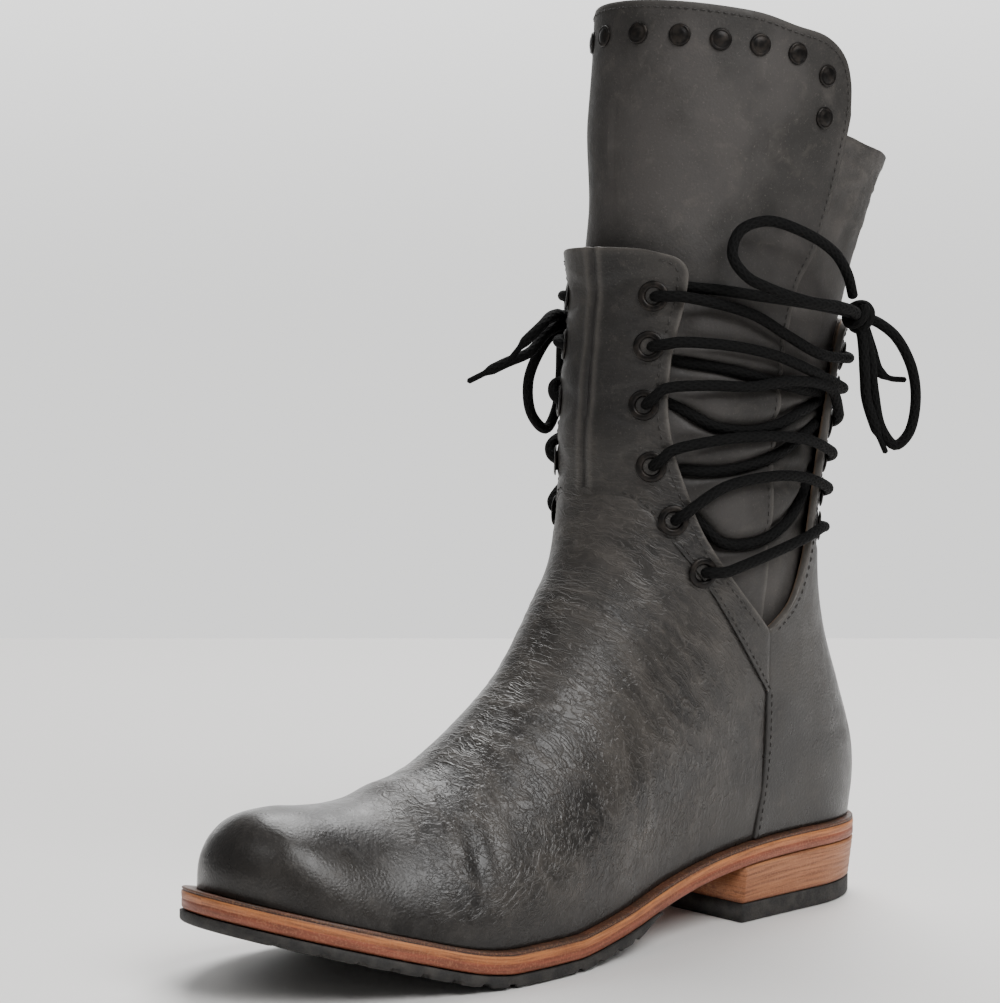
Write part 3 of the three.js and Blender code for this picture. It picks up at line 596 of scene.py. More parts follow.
def surface(material, node, shader, colour, rough, relief, strength, depth):
    """Lead the colour, the roughness and the relief to a material's shader."""
    bump = node("Bump", {"Height": relief, "Strength": strength, "Distance": depth})
    for label, value in (("Base Color", colour), ("Roughness", rough), ("Normal", bump)):
        if isinstance(value, bpy.types.NodeSocket):
            material.node_tree.links.new(value, shader.inputs[label])
        else:
            shader.inputs[label].default_value = value
    return material


def layered(node, colour, layers):
    """Colour with layers mixed over it, each a factor and an sRGB hex value."""
    for factor, code in layers:
        colour = node("Mix", {0: factor, 6: colour, 7: linear(code)}, 2, **COLOUR)
    return colour


def per_mm(size):
    """Texture scale for a pattern of the given size in millimetres."""
    return 1000.0 / size


def wrinkles(node, where, size):
    """Fine creases: the middle level of two layers of noise, stretched along the run that
    the across and along attributes give, which drifts with the place on the boot."""
    across, along = (node("Attribute", out="Fac", attribute_name=label)
                     for label in ("across", "along"))
    sideways = node("Math", (node("SeparateXYZ", (where,)), 700.0), **TIMES)
    run = node("CombineXYZ", (across, along, sideways))
    drift = node("TexNoise", {"Vector": where, "Scale": per_mm(11), "Detail": 3.0}, "Color")
    drift = node("VectorMath", (drift, (7.0, 7.0, 7.0)), **TIMES)
    run = node("VectorMath", (run, drift), operation="ADD")
    layers = []
    for width, length in ((size, 2.6 * size), (0.55 * size, 1.1 * size)):
        scaled = node("VectorMath", (run, (1 / width, 1 / length, 1 / length)), **TIMES)
        wave = node("TexNoise", {
            "Vector": scaled, "Scale": 0.55, "Detail": 1.5, "Distortion": 0.9})
        away = node("Math", (wave, 0.5), operation="SUBTRACT")
        away = node("Math", (away,), operation="ABSOLUTE")
        layers.append(node("MapRange", (away, 0.0, 0.06, 1.0, 0.0), **SMOOTH))
    return node("Math", (layers[1], 0.7, layers[0]), **TIMES_PLUS)


def leather(name, deep, base, rubbed, gloss, coat, grain, wrinkle, fleck):
    """Full-grain cowhide, dyed and waxed, then rubbed back by hand: pebbled grain, dye
    that clouds from deep to base, lighter edges, crease ridges lighter partly from rubbing
    and partly as painted highlight, darker dye and painted shade where marked dark, a soft
    wax shine."""
    material, node, where, shader = start(name)
    worn, dark, inside, creased, fold, wax = (
        node("Attribute", out="Fac", attribute_name=label)
        for label in ("worn", "dark", "inside", "creased", "fold", "waxed"))
    cloud = node("TexNoise", {
        "Vector": where, "Scale": per_mm(38), "Detail": 5.0, "Roughness": 0.55})
    patchy = node("TexNoise", {
        "Vector": where, "Scale": per_mm(7), "Detail": 5.0, "Roughness": 0.6, "Distortion": 0.6})
    pores = node("TexVoronoi", {"Vector": where, "Scale": per_mm(grain)}, feature="SMOOTH_F1")
    hair = node("TexNoise", {
        "Vector": where, "Scale": per_mm(0.8), "Detail": 6.0, "Roughness": 0.7})
    ridge = node("Math", (wrinkles(node, where, wrinkle), creased), **TIMES)
    light = node("Math", (ridge, 0.12), **TIMES)
    colour = layered(node, linear(deep), (
        (node("MapRange", (cloud, 0.35, 0.65), **SMOOTH), base),
        (node("MapRange", (patchy, 0.5, 0.8, 0.0, 0.22), **SMOOTH), rubbed),
        (node("MapRange", (hair, 0.56, 0.74, 0.0, fleck), **SMOOTH), rubbed),
        # Fold and crease ridges mixed lighter: partly rubbed wear, partly painted highlight.
        (node("Math", (fold, 0.25, light), **TIMES_PLUS), rubbed),
        (node("Math", (worn, 0.7), **TIMES), "#8d8780"),
        # The dark attribute: darker dye at seams, toe and edges, and painted shade along the sole
        # and under the panels.
        (dark, "#1f1d1c"),
        (node("MapRange", (inside, 0.55, 0.85), **SMOOTH), "#6d5a4a"),
    ))
    rough = node("MapRange", (patchy, 0.3, 0.7, gloss - 0.05, gloss + 0.1), **SMOOTH)
    rough = node("Math", (wax, -0.19, rough), **TIMES_PLUS)
    shader.inputs["Specular IOR Level"].default_value = 0.4
    shader.inputs["Coat Weight"].default_value = coat
    shader.inputs["Coat Roughness"].default_value = 0.28
    relief = node("Math", (pores, 0.5, node("Math", (hair, 0.35), **TIMES)), **TIMES_PLUS)
    relief = node("Math", (ridge, 1.1, relief), **TIMES_PLUS)
    return surface(material, node, shader, colour, rough, relief, 0.42, 0.0004)


def sole_leather(name, bands, streak_length, seams):
    """Vegetable-tanned sole leather, cut, stacked, sanded and waxed: layers that show as
    streaks along the edge, warm brown with a satin shine."""
    material, node, where, shader = start(name)
    run = node("UVMap", uv_map="UVMap")
    run = node("Mapping", {"Vector": run, "Scale": (per_mm(streak_length), per_mm(0.9), 1.0)})
    streaks = node("TexNoise", {
        "Vector": run, "Scale": 1.0, "Detail": 6.0, "Roughness": 0.65, "Distortion": 0.3})
    fibre = node("TexNoise", {"Vector": where, "Scale": per_mm(0.7), "Detail": 5.0})
    ramp = node("ValToRGB", (node("Attribute", out="Fac", attribute_name="level"),), None)
    while len(ramp.color_ramp.elements) < len(bands):
        ramp.color_ramp.elements.new(0.5)
    for element, (position, code) in zip(ramp.color_ramp.elements, bands):
        element.position = position
        element.color = linear(code)
    colour = layered(node, ramp.outputs[0], (
        (node("MapRange", (streaks, 0.35, 0.7, 0.0, 0.75), **SMOOTH), "#5a3020"),
        (node("MapRange", (fibre, 0.45, 0.7, 0.0, 0.25), **SMOOTH), "#c08a62"),
    ))
    rough = node("MapRange", (streaks, 0.3, 0.7, 0.42, 0.6), **SMOOTH)
    relief = node("Math", (streaks, seams), **TIMES)
    return surface(material, node, shader, colour, rough, relief, 0.35, 0.0003)


def sole_rubber():
    """Vulcanised black rubber, pressed in a mould: matt, faintly mottled, dust in its
    pores."""
    material, node, where, shader = start("moulded_rubber")
    mottle = node("TexNoise", {"Vector": where, "Scale": per_mm(5), "Detail": 5.0})
    grit = node("TexNoise", {"Vector": where, "Scale": per_mm(0.6), "Detail": 3.0})
    mottle = node("MapRange", (mottle, 0.35, 0.7), **SMOOTH)
    colour = layered(node, linear("#1f1e1d"), [(mottle, "#35322f")])
    rough = node("MapRange", (grit, 0.3, 0.7, 0.62, 0.8), **SMOOTH)
    return surface(material, node, shader, colour, rough, grit, 0.25, 0.0002)


def gunmetal():
    """Brass eyelets and studs with a blackened plating: dark metal that keeps a dull
    gleam, rubbed a little brown."""
    material, node, where, shader = start("blackened_brass")
    rub = node("TexNoise", {"Vector": where, "Scale": per_mm(2.5), "Detail": 4.0})
    brown = node("MapRange", (rub, 0.4, 0.7), **SMOOTH)
    colour = layered(node, linear("#161413"), [(brown, "#2c2723")])
    shader.inputs["Metallic"].default_value = 0.7
    rough = node("MapRange", (rub, 0.3, 0.7, 0.34, 0.5), **SMOOTH)
    return surface(material, node, shader, colour, rough, rub, 0.2, 0.0002)


def braid():
    """Waxed cotton lace, braided round: fine crossing strands, matt black with a dull
    bloom."""
    material, node, where, shader = start("braided_cotton")
    axes = node("SeparateXYZ", (node("UVMap", uv_map="UVMap"),), None)
    turn = node("Math", (axes.outputs[0], float(STRANDS)), **TIMES)
    waves = []
    for lean in ("ADD", "SUBTRACT"):
        phase = node("Math", (turn, axes.outputs[1]), operation=lean)
        phase = node("Math", (phase, 2 * math.pi), **TIMES)
        waves.append(node("Math", (phase,), operation="SINE"))
    weave = node("Math", waves, operation="MAXIMUM")
    fuzz = node("TexNoise", {"Vector": where, "Scale": per_mm(0.5), "Detail": 3.0})
    colour = layered(node, linear("#050505"), (
        (node("MapRange", (weave, -0.2, 1.0), **SMOOTH), "#0e0e0e"),
        (node("MapRange", (fuzz, 0.5, 0.8, 0.0, 0.3), **SMOOTH), "#1a1a19"),
    ))
    shader.inputs["Specular IOR Level"].default_value = 0.15
    return surface(material, node, shader, colour, 0.85, weave, 0.5, 0.00025)


def thread_finish():
    """Waxed polyester thread: dark, slightly glossy twist."""
    material, node, where, shader = start("waxed_thread")
    twist = node("TexNoise", {"Vector": where, "Scale": per_mm(0.6), "Detail": 3.0})
    colour = layered(node, linear("#171615"), [(twist, "#34302d")])
    return surface(material, node, shader, colour, 0.55, twist, 0.3, 0.0001)


UPPER_LEATHER = leather(
    "waxed_upper_leather", deep="#1c1a19", base="#2f2c29", rubbed="#67615b", gloss=0.5,
    coat=0.08, grain=0.9, wrinkle=2.3, fleck=0.4)
SHAFT_LEATHER = leather(
    "rubbed_shaft_leather", deep="#272523", base="#403d3b", rubbed="#6c6660", gloss=0.58,
    coat=0.0, grain=0.9, wrinkle=3.6, fleck=0.5)
INSOLE_LEATHER = leather(
    "insole_lining", deep="#5d4a3b", base="#7a6350", rubbed="#947c66", gloss=0.75,
    coat=0.0, grain=1.0, wrinkle=4.0, fleck=0.2)
MIDSOLE_LEATHER = sole_leather("stacked_midsole_leather", [
    (0.0, "#5a2c20"), (0.1, "#8c4830"), (0.42, "#8a4730"), (0.5, "#b86c3c"),
    (0.84, "#bd7844"), (0.93, "#32241c")], 16, 0.5)
HEEL_LEATHER = sole_leather("stacked_heel_leather", [
    (0.0, "#784328"), (0.1, "#a0643c"), (0.9, "#a96c44"), (1.0, "#ae744a")], 22, 0.7)
RUBBER = sole_rubber()
METAL = gunmetal()
LACE = braid()
THREAD = thread_finish()


def dress(piece, material):
    """Give a piece its material."""
    piece.data.materials.clear()
    piece.data.materials.append(material)
    return piece


# Laces and bows

TUBE_CORNERS = 12
TIP_SHARES = np.array([0.0, 0.5, 0.85])
PITCH_STRETCH = 2.2


def tube(name, path, taper=0.0):
    """Round lace along a path: rings across the path in a frame that turns as little as
    it can, closed with rounded tips. U goes once round, V once per strand's turn."""
    path = np.asarray(path, float)
    tangent = np.gradient(path, axis=0)
    tangent /= np.linalg.norm(tangent, axis=1, keepdims=True)
    guide = np.cross(tangent[0], (0.3, 0.2, 1.0))
    frames = []
    for t in tangent:
        guide = guide - t * (guide @ t)
        guide = guide / np.linalg.norm(guide)
        frames.append(guide)
    across = np.array(frames)
    other = np.cross(tangent, across)
    run = lengths(path)
    size = np.full(len(path), LACE_RADIUS)
    if taper:
        size *= 1 - 0.45 * smoothstep(run[-1] - taper, run[-1] - taper * 0.6, run)
    beyond = (0.6 * LACE_RADIUS * (1 - TIP_SHARES))[:, None]
    shrink = np.sqrt(1 - (1 - TIP_SHARES) ** 2)
    middles = np.vstack([
        path[0] - tangent[0] * beyond, path[1:-1], path[-1] + tangent[-1] * beyond[::-1]])
    sizes = np.concatenate([size[0] * shrink, size[1:-1], size[-1] * shrink[::-1]])
    extra = len(TIP_SHARES) - 1
    pick = np.clip(np.arange(-extra, len(path) + extra), 0, len(path) - 1)
    angle = np.linspace(0, 2 * math.pi, TUBE_CORNERS, endpoint=False)
    ring = (np.cos(angle)[None, :, None] * across[pick][:, None]
            + np.sin(angle)[None, :, None] * other[pick][:, None])
    points = middles[:, None] + ring * sizes[:, None, None]
    rows = len(points)
    faces = grid_faces(rows, TUBE_CORNERS, wrap=True)
    along = run[pick] / (2 * math.pi * LACE_RADIUS / STRANDS * PITCH_STRETCH)
    i, j = np.meshgrid(np.arange(rows - 1), np.arange(TUBE_CORNERS), indexing="ij")
    uv = np.stack([np.stack([(j + right) / TUBE_CORNERS, along[i + up]], -1)
                   for right, up in ((0, 0), (1, 0), (1, 1), (0, 1))], 2)
    piece = mesh_piece(name, points.reshape(-1, 3), faces, uv=uv.reshape(-1, 2))
    return dress(piece, LACE)


# Lace over the throat, as (at, up, height over the form). The first and the last place of an
# upper bar only tell eyelet_end which way the lace goes
OVER_BARS = [
    [(0.371, 0.683, 3.0), (0.298, 0.666, 0.6), (0.241, 0.642, 0.2), (0.18, 0.622, 0.6),
     (0.125, 0.615, 2.8)],
    [(0.378, 0.636, 3.0), (0.326, 0.632, 0.9), (0.262, 0.621, 0.4), (0.19, 0.602, 0.8),
     (0.132, 0.588, 2.9)],
    [(0.398, 0.586, 3.0), (0.355, 0.59, 1.2), (0.3, 0.588, 0.2), (0.227, 0.593, 0.2),
     (0.15, 0.583, 2.2), (0.128, 0.566, 3.0)],
    [(0.392, 0.524, 3.0), (0.342, 0.532, 0.6), (0.262, 0.534, 0.0), (0.196, 0.528, 0.8),
     (0.14, 0.516, 3.0)],
    [(0.374, 0.462, 3.0), (0.336, 0.482, 1.0), (0.261, 0.491, 0.0), (0.2, 0.487, 0.9),
     (0.15, 0.477, 3.0)],
    [(0.343, 0.392, 3.0), (0.31, 0.397, 1.6), (0.262, 0.407, 0.6), (0.2, 0.421, 2.2),
     (0.158, 0.43, 3.2)],
]
UNDER_BARS = [
    [(0.405, 0.622, -3.9), (0.384, 0.617, -4.0), (0.313, 0.605, -3.7), (0.25, 0.592, -3.9),
     (0.19, 0.582, -4.2), (0.12, 0.575, -4.2)],
    [(0.405, 0.578, -3.9), (0.382, 0.566, -4.0), (0.341, 0.546, -3.6), (0.29, 0.54, -3.4),
     (0.244, 0.545, -3.6), (0.19, 0.557, -3.9), (0.12, 0.566, -4.2)],
    [(0.402, 0.501, -3.9), (0.381, 0.5, -4.0), (0.335, 0.498, -3.7), (0.262, 0.508, -3.7),
     (0.2, 0.524, -4.0), (0.13, 0.54, -4.2)],
    [(0.375, 0.458, -3.9), (0.357, 0.44, -4.0), (0.329, 0.42, -3.7), (0.278, 0.418, -3.5),
     (0.215, 0.435, -3.8), (0.165, 0.462, -4.2), (0.14, 0.485, -4.2)],
]
TOP_BARS = {  # strand out of the panel's edge that runs up to the knot
    "lateral": [(0.385, 0.699, -3.6), (0.364, 0.695, -2.8), (0.332, 0.691, -0.4),
                (0.281, 0.684, 0.8), (0.217, 0.677, 2.2), (0.151, 0.67, 3.6)],
    "medial": [(0.1, 0.67, -3.6), (0.14, 0.667, -2.4), (0.2, 0.663, 0.4), (0.28, 0.658, 1.6)],
}
FRONT_EYES = [
    (0.4, 0.684), (0.406, 0.631), (0.414, 0.569), (0.411, 0.504), (0.393, 0.447),
    (0.361, 0.391),
]
BACK_EYES = [
    (0.075, 0.618), (0.089, 0.58), (0.1, 0.542), (0.11, 0.504), (0.119, 0.466),
    (0.125, 0.428),
]
KNOT = {"lateral": (40.0, 8.4, 210.8), "medial": (-40.2, -58.0, 207.1)}
KNOT_RADIUS = 4.1
KNOT_TURNS = 1.6
KNOT_PITCH = 3.6
LACE_STEP = 1.1


def over_form(side, rows):
    """Points over the form from rows of at, up and height over it."""
    rows = np.asarray(rows, float)
    yz = place(rows[:, :2])
    base, normal = skin(np.full(len(rows), float(side)), yz[:, 0], yz[:, 1])
    return base + normal * rows[:, 2:]


def eyelet_end(eye, towards):
    """Rows that bring the lace up out of an eyelet and over its rim."""
    eye, towards = np.array(eye), np.array(towards[:2])
    way = place([towards])[0] - place([eye])[0]
    way = way / np.linalg.norm(way) / (-SOLE_LENGTH, LEG_HEIGHT)
    steps = ((-0.3, -3.4), (0.1, -0.6), (1.5, 1.9), (4.2, 3.3), (7.0, 3.2))
    return [(*(eye + way * step), lift) for step, lift in steps]


def lay(points):
    """Smooth path through points, resampled at even steps."""
    line = smooth_line(points, 40 * len(points))
    count = max(int(lengths(line)[-1] / LACE_STEP), 8)
    return spread(line, np.linspace(0, 1, count))


def join(pieces, name):
    """One piece from several, under the first one's place on the frame."""
    bpy.ops.object.select_all(action="DESELECT")
    for piece in pieces:
        piece.select_set(True)
    bpy.context.view_layer.objects.active = pieces[0]
    bpy.ops.object.join()
    pieces[0].name = name
    pieces[0].data.name = name
    return pieces[0]


def make_lacing(side, label):
    """The crossings over one throat, as one piece: bars out of the front eyelets into the
    back ones, bars that run on beneath the panels' edges and the strand up to the knot."""
    ends = zip(FRONT_EYES, OVER_BARS, BACK_EYES)
    bars = [eyelet_end(eye, rows[0]) + rows[1:-1] + eyelet_end(other, rows[-1])[::-1]
            for eye, rows, other in ends]
    paths = [over_form(side, rows) for rows in bars + UNDER_BARS + [TOP_BARS[label]]]
    paths[-1] = np.vstack([paths[-1], KNOT[label]])
    bars = [tube(f"bar_{label}_{i}", lay(path)) for i, path in enumerate(paths)]
    return join(bars, f"laces_{label}")


# Bows: every lace end is one cord, out of the knot in a loop, back through it and down to
# its tip. The routes are those of the solid bows.
BOWS = {
    "lateral": [
        [(42, 3, 218), (45, -3, 225), (47, -12, 232.5), (47, -28, 239.5), (44, -43, 243),
         (41, -52.5, 239.5), (41, -56, 231.5), (44.5, -53, 224.5), (48, -46, 220.5),
         (51, -30, 216), (50, -12, 214), (46, 0, 212), (41, 6, 210), (41.5, 8.5, 204),
         (43.5, 8, 190), (43, 9.5, 182), (43.5, 13, 173), (44.5, 18, 163)],
        [(41.5, 11, 210), (44, 15, 208), (47.5, 20, 203), (50.5, 25, 192), (51, 26.5, 180),
         (49.5, 24.5, 169), (46.5, 21, 165), (43.5, 17, 171), (42.5, 14, 184), (42, 12, 198),
         (40.5, 9.5, 208), (38.5, 10, 211), (38, 13.5, 207), (39, 16.5, 199),
         (40, 19.5, 191), (42, 23, 188.5), (45, 27, 188)],
    ],
    "medial": [
        [(-43, -54, 210), (-47, -48, 214), (-48.5, -36, 222), (-48.5, -22, 227), (-47, -11, 224),
         (-47.5, -6, 215), (-50, -14, 206), (-52, -30, 202), (-49.5, -46, 203),
         (-44, -56, 206), (-39.5, -61, 207), (-39, -68, 204.5), (-37.5, -77, 198),
         (-40, -87, 194), (-48, -96, 188)],
        [(-42, -60, 206), (-43, -66, 200), (-45, -71, 188), (-46, -69, 176), (-47, -61, 170),
         (-48, -55, 177), (-48, -53, 189), (-46.5, -54, 199), (-42, -57, 207),
         (-38.5, -62, 211), (-36.5, -68, 210.5), (-34, -75, 207), (-35.5, -82, 201),
         (-38.5, -86, 195)],
    ],
}


def knot_wrap(label, axis):
    """The knot's band: a strand wound one and a half times round the crossing laces, as
    a circle about an axis that moves along it by a lace's width a turn."""
    centre, axis = np.array(KNOT[label]), np.array(axis, float)
    axis /= np.linalg.norm(axis)
    one = np.cross(axis, (0.2, 0.1, 1.0))
    one /= np.linalg.norm(one)
    other = np.cross(axis, one)
    turn = np.linspace(0, KNOT_TURNS, 60)[:, None]
    angle = 2 * math.pi * turn
    line = centre + KNOT_RADIUS * (np.cos(angle) * one + np.sin(angle) * other)
    return line + axis * (turn - KNOT_TURNS / 2) * KNOT_PITCH


def make_bow(label, axis):
    """Two cords and the band of the knot, in place of the solid bow."""
    band = tube(f"knot_{label}", knot_wrap(label, axis))
    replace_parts(band, f"bow_{label}")
    for number, route in enumerate(BOWS[label], 1):
        path = lay(route)
        cord = tube(f"lace_end_{label}_{number}", path, taper=9)
        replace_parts(cord, f"bow_{label}")


for side, label, axis in ((1, "lateral", (0.1, -1, 0.5)), (-1, "medial", (-0.1, 1, 0.4))):
    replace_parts(make_lacing(side, label), f"lacing_{label}")
    make_bow(label, axis)


# Upper

def crest(low, high, count=200):
    """Stretch of the front line between two heights, above the toe."""
    z = np.linspace(low, high, count)
    return np.stack([np.interp(z, front[SHIN_START:, 1], front[SHIN_START:, 0]), z], 1)


def spine(low, high, count=200):
    """Stretch of the back line between two heights."""
    z = np.linspace(low, high, count)
    return np.stack([np.interp(z, back[:, 1], back[:, 0]), z], 1)


panel_edge = smooth_line(place(PANEL_EDGE), 300)
quarter_edge = smooth_line(place(QUARTER_EDGE), 300)
panel_seam = smooth_line(place(PANEL_SEAM), 300)
side_seam = smooth_line(place(SIDE_SEAM), 200)
side_seam = side_seam[side_seam[:, 1] > foot_level(side_seam[:, 0])]
seam_joint = smooth_line(place([(0.244, 0.252), (0.248, 0.288), (0.251, 0.322)]), 40)
QUARTER_TOP = 0.657 * LEG_HEIGHT
VAMP_LAP = 4.0


def feather(from_y, to_y, count=300):
    """Line along the foot where the upper meets the midsole."""
    y = np.linspace(from_y, to_y, count)
    return np.stack([y, foot_level(y)], 1)


def vamp_grid(rows, cols):
    """Vamp in the side view: rows from the toe to the seams, each from the crest down to
    the feather line. It runs on beneath the front panel's seam by a lap."""
    lap = shifted(panel_seam[::-1], -VAMP_LAP)
    behind_front = offset_from(front, lap[:, 0], lap[:, 1]) < -1
    lap = lap[(lap[:, 0] < side_seam[-1, 0] - 1) & behind_front]
    crest_end = np.argmax(front[:, 1] > lap[-1, 1])
    end = np.vstack([side_seam, lap, front[crest_end]])
    start = np.argmax(front[:, 1] > foot_level(front[:, 0]))
    top = front[start:crest_end + 1]
    base = feather(top[0, 0], side_seam[0, 0])
    u = np.linspace(0, 1, rows) ** 1.25
    v = 1 - np.cos(np.linspace(0, 1, cols) * math.pi / 2)
    high, low = spread(top, u), spread(base, u)
    far = spread(end[::-1], v)
    straight = high[:, None] + (low - high)[:, None] * v[None, :, None]
    return straight + (far - straight[-1]) * u[:, None, None] ** 3


def panel_grid(rows, cols):
    """Front panel in the side view: straight rows from the crest to the rear edge, that
    climb slowly on the crest at first, bent to the seam below and to the top above."""
    v = np.linspace(0, 1, rows)
    u = 1 - np.cos(np.linspace(0, 1, cols) * math.pi / 2)
    left = crest(panel_seam[0, 1], TOP_LEVEL)
    top = smooth_line(np.vstack([left[-1], place([(0.4, 0.7325), (0.387, 0.7285)])]), 40)
    right = np.vstack([seam_joint[:-1], panel_edge[::-1]])
    near_end, far_end = spread(left, 0.05 * v + 0.95 * v**2.4), spread(right, v)
    straight = near_end[:, None] + (far_end - near_end)[:, None] * u[None, :, None]
    low, high = spread(panel_seam, u) - straight[0], spread(top, u) - straight[-1]
    v = v[:, None, None]
    return straight + low * (1 - v) ** 1.5 + high * v**8


CREASE_FOOT = (-205.0, 50.0)
CREASE_STRETCH = 1.6
CREASE_RADIUS = 70


def crease_across(y, z, side):
    """Coordinate that the vamp's creases cross: radius of an ellipse about a point in
    the toe."""
    return np.hypot(y - CREASE_FOOT[0], CREASE_STRETCH * (z - CREASE_FOOT[1]))


def crease_along(y, z, side):
    """Coordinate that they run along: the ellipse's angle as a length at one radius."""
    angle = np.arctan2(CREASE_STRETCH * (z - CREASE_FOOT[1]), y - CREASE_FOOT[0])
    return CREASE_RADIUS * angle


def vamp_creases(y, z, side):
    """How creased the vamp is: not on the toe, less at the sole and the seams."""
    body = smoothstep(-196, -160, y)
    low = smoothstep(3, 20, z - foot_level(y))
    back_part = 1 - 0.6 * smoothstep(-62, -40, y)
    high = 1 - 0.9 * smoothstep(128, 182, z)
    return body * (0.2 + 0.8 * low) * back_part * high


def vamp_folds(y, z, side):
    """Soft folds wide enough for the mesh."""
    across, along = crease_across(y, z, side), crease_along(y, z, side)
    return folds(across, along + 17 * side, 8.0, 24, 9) * vamp_creases(y, z, side)


CREASE_SPOTS = [  # at, up, length, width, depth, lean of the dents that walking made
    (0.728, 0.12, 9.0, 2.2, 0.9, 0.15),
    (0.70, 0.135, 12.0, 3.0, 0.5, 0.3),
]


def dents(y, z):
    """Dents of the toe's break, each a bell across and along its own direction."""
    total = np.zeros_like(y)
    for at, up, length, width, depth, lean in CREASE_SPOTS:
        (cy, cz), = place([(at, up)])
        dy, dz = y - cy, z - cz
        long = dz * math.cos(lean) + dy * math.sin(lean)
        wide = dy * math.cos(lean) - dz * math.sin(lean)
        total = total - depth * bell(long / length) * bell(wide / width)
    return total


def vamp_outer(y, z, side):
    """Height of the vamp: swells, folds and dents, and sunk beneath the front panel."""
    swell = 0.35 * noise(np.stack([y / 28, z / 22, side * 3.0], -1), 21)
    swell = swell * smoothstep(-190, -120, y)
    under = smoothstep(0.0, 1.6, offset_from(panel_seam, y, z)) * smoothstep(-28, -33, y)
    relief = 0.22 * vamp_folds(y, z, side) + dents(y, z) + swell
    return relief * (1 - under) - 0.9 * under


def from_middle(y, z):
    """Distance across from the form's middle."""
    return half_widths(1, y, z)[1] * np.sqrt(np.maximum(fullness(y, z), 0))


def above_vamp(z):
    """0 on the vamp and 1 up the front panel, where its centre-front seam runs."""
    return smoothstep(148, 156, z)


def dye_and_painted_shade(y, z, side):
    """Darker dye along the seams and on the toe, painted shade along the sole where the upper meets
    the midsole, and a darker patch in the dent at the toe's break.
    """
    # Painted shade where the upper meets the midsole, fading over a few millimetres.
    low = np.exp(-np.maximum(z - foot_level(y), 0) / 3.2) * 0.75
    toe = 0.35 * smoothstep(-205, -232, y)
    upper = smoothstep(0.425, 0.395, at_of(y))
    seam = 0.55 * np.maximum(near(side_seam, y, z, 1.4), near(panel_seam, y, z, 1.2) * upper)
    centre = 0.5 * bell(from_middle(y, z) / 1.1) * above_vamp(z)
    # Darker patch in the dent at the toe's break.
    (cy, cz), = place([(0.728, 0.115)])
    break_patch = 0.75 * bell((y - cy) / 3.2) * bell((z - cz) / 7.5)
    return np.clip(np.maximum.reduce([low, toe, seam, centre, break_patch]), 0, 1)


def panel_outer(y, z, side):
    """Height of the front panel: soft swells, a groove down its centre-front seam, and a
    step over the vamp that dies out towards the crest."""
    from_seam = distance(panel_seam, y, z)
    swell = 0.3 * noise(np.stack([y / 14, z / 17, side * 2.0], -1), 31)
    middle = from_middle(y, z)
    centre = (0.35 * bell((middle - 2.8) / 1.4) - 0.5 * bell(middle / 1.1)) * above_vamp(z)
    low = smoothstep(16, 2, from_seam) * smoothstep(0.37, 0.42, at_of(y))
    rise = OVERLAY_RISE * (1 - 0.92 * low)
    pulled = 0.5 * eyelet_pull(y, z)
    return flare(y, z) + rise + swell * smoothstep(2, 10, from_seam) + centre - pulled


eyes = place(FRONT_EYES + BACK_EYES)


def eyelet_pull(y, z):
    """Dimples that the set eyelets press into the leather."""
    d = np.hypot(y[..., None] - eyes[:, 0], z[..., None] - eyes[:, 1]).min(-1)
    return bell((d - 6.2) / 1.6)


def quarter_outer(y, z, side):
    """Height of the quarter: soft swells and a groove down the seam at the back."""
    swell = 0.45 * noise(np.stack([y / 20, z / 24, side * 2.0], -1), 41)
    edge = smoothstep(0, 8, distance(side_seam, y, z))
    groove = 0.4 * near(back, y, z, 0.9)
    return OVERLAY_RISE + swell * edge - groove - 0.5 * eyelet_pull(y, z)


def panel_worn(y, z, side):
    """Raw and rubbed edges of the front panel and the quarter."""
    edge = np.maximum(near(panel_edge, y, z, 0.7), near(quarter_edge, y, z, 0.7))
    top = np.exp(-np.maximum(TOP_LEVEL - z, 0) / 1.0)
    ridge = 0.22 * bell((from_middle(y, z) - 2.8) / 1.1) * above_vamp(z)
    return np.clip(0.3 * edge + 0.35 * top + ridge, 0, 1)


def waxed(y, z, side):
    """How much wax the leather still holds: most on the foot, little up the leg."""
    return 1 - smoothstep(70, 150, z)


def upper_piece(name, yz, outer, inner, **values):
    """Piece of the upper, with what all of its leather carries: darker dye and painted shade, and
    wax.
    """
    values = {"dark": dye_and_painted_shade, "waxed": waxed, **values}
    piece = sheet(name, yz, outer, inner, values)
    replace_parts(piece, "upper")
    return dress(piece, UPPER_LEATHER)


def make_vamp():
    """Vamp, from the toe to the seams."""
    upper_piece(
        "vamp", vamp_grid(190, 75), vamp_outer, lambda y, z, s: np.full_like(y, 0.5 - UPPER_WALL),
        fold=vamp_folds, creased=vamp_creases, across=crease_across, along=crease_along)


def make_panel():
    """Front panel of the shaft, which laps over the vamp."""
    upper_piece(
        "front_panel", panel_grid(130, 60), panel_outer,
        lambda y, z, s: flare(y, z) + 0.2 - UPPER_WALL,
        worn=panel_worn, creased=vamp_creases, across=crease_across, along=crease_along)


def make_quarter():
    """Back quarter, round the heel from one side's seam to the other's."""
    bottom = feather(back[0, 0], side_seam[0, 0])
    right = np.vstack([side_seam, seam_joint[1:-1], quarter_edge])
    left = spine(back[0, 1], QUARTER_TOP)
    top = smooth_line(np.vstack([left[-1], quarter_edge[-1]]), 20)
    yz = patch(bottom, top, left, right, 150, 60)
    inner = lambda y, z, s: np.full_like(y, 0.2 - UPPER_WALL)
    upper_piece("quarter", yz, quarter_outer, inner, worn=panel_worn)


# Inner shaft

flap_top = smooth_line(place(FLAP_TOP), 200)
flap_edge = smooth_line(place(FLAP_EDGE), 300)
bars_yz = [place([row[:2] for row in rows]) for rows in OVER_BARS + UNDER_BARS]
bars_yz = [smooth_line(rows, 60) for rows in bars_yz]
bar_dents = [1.4] * len(OVER_BARS) + [3.0] * len(UNDER_BARS)


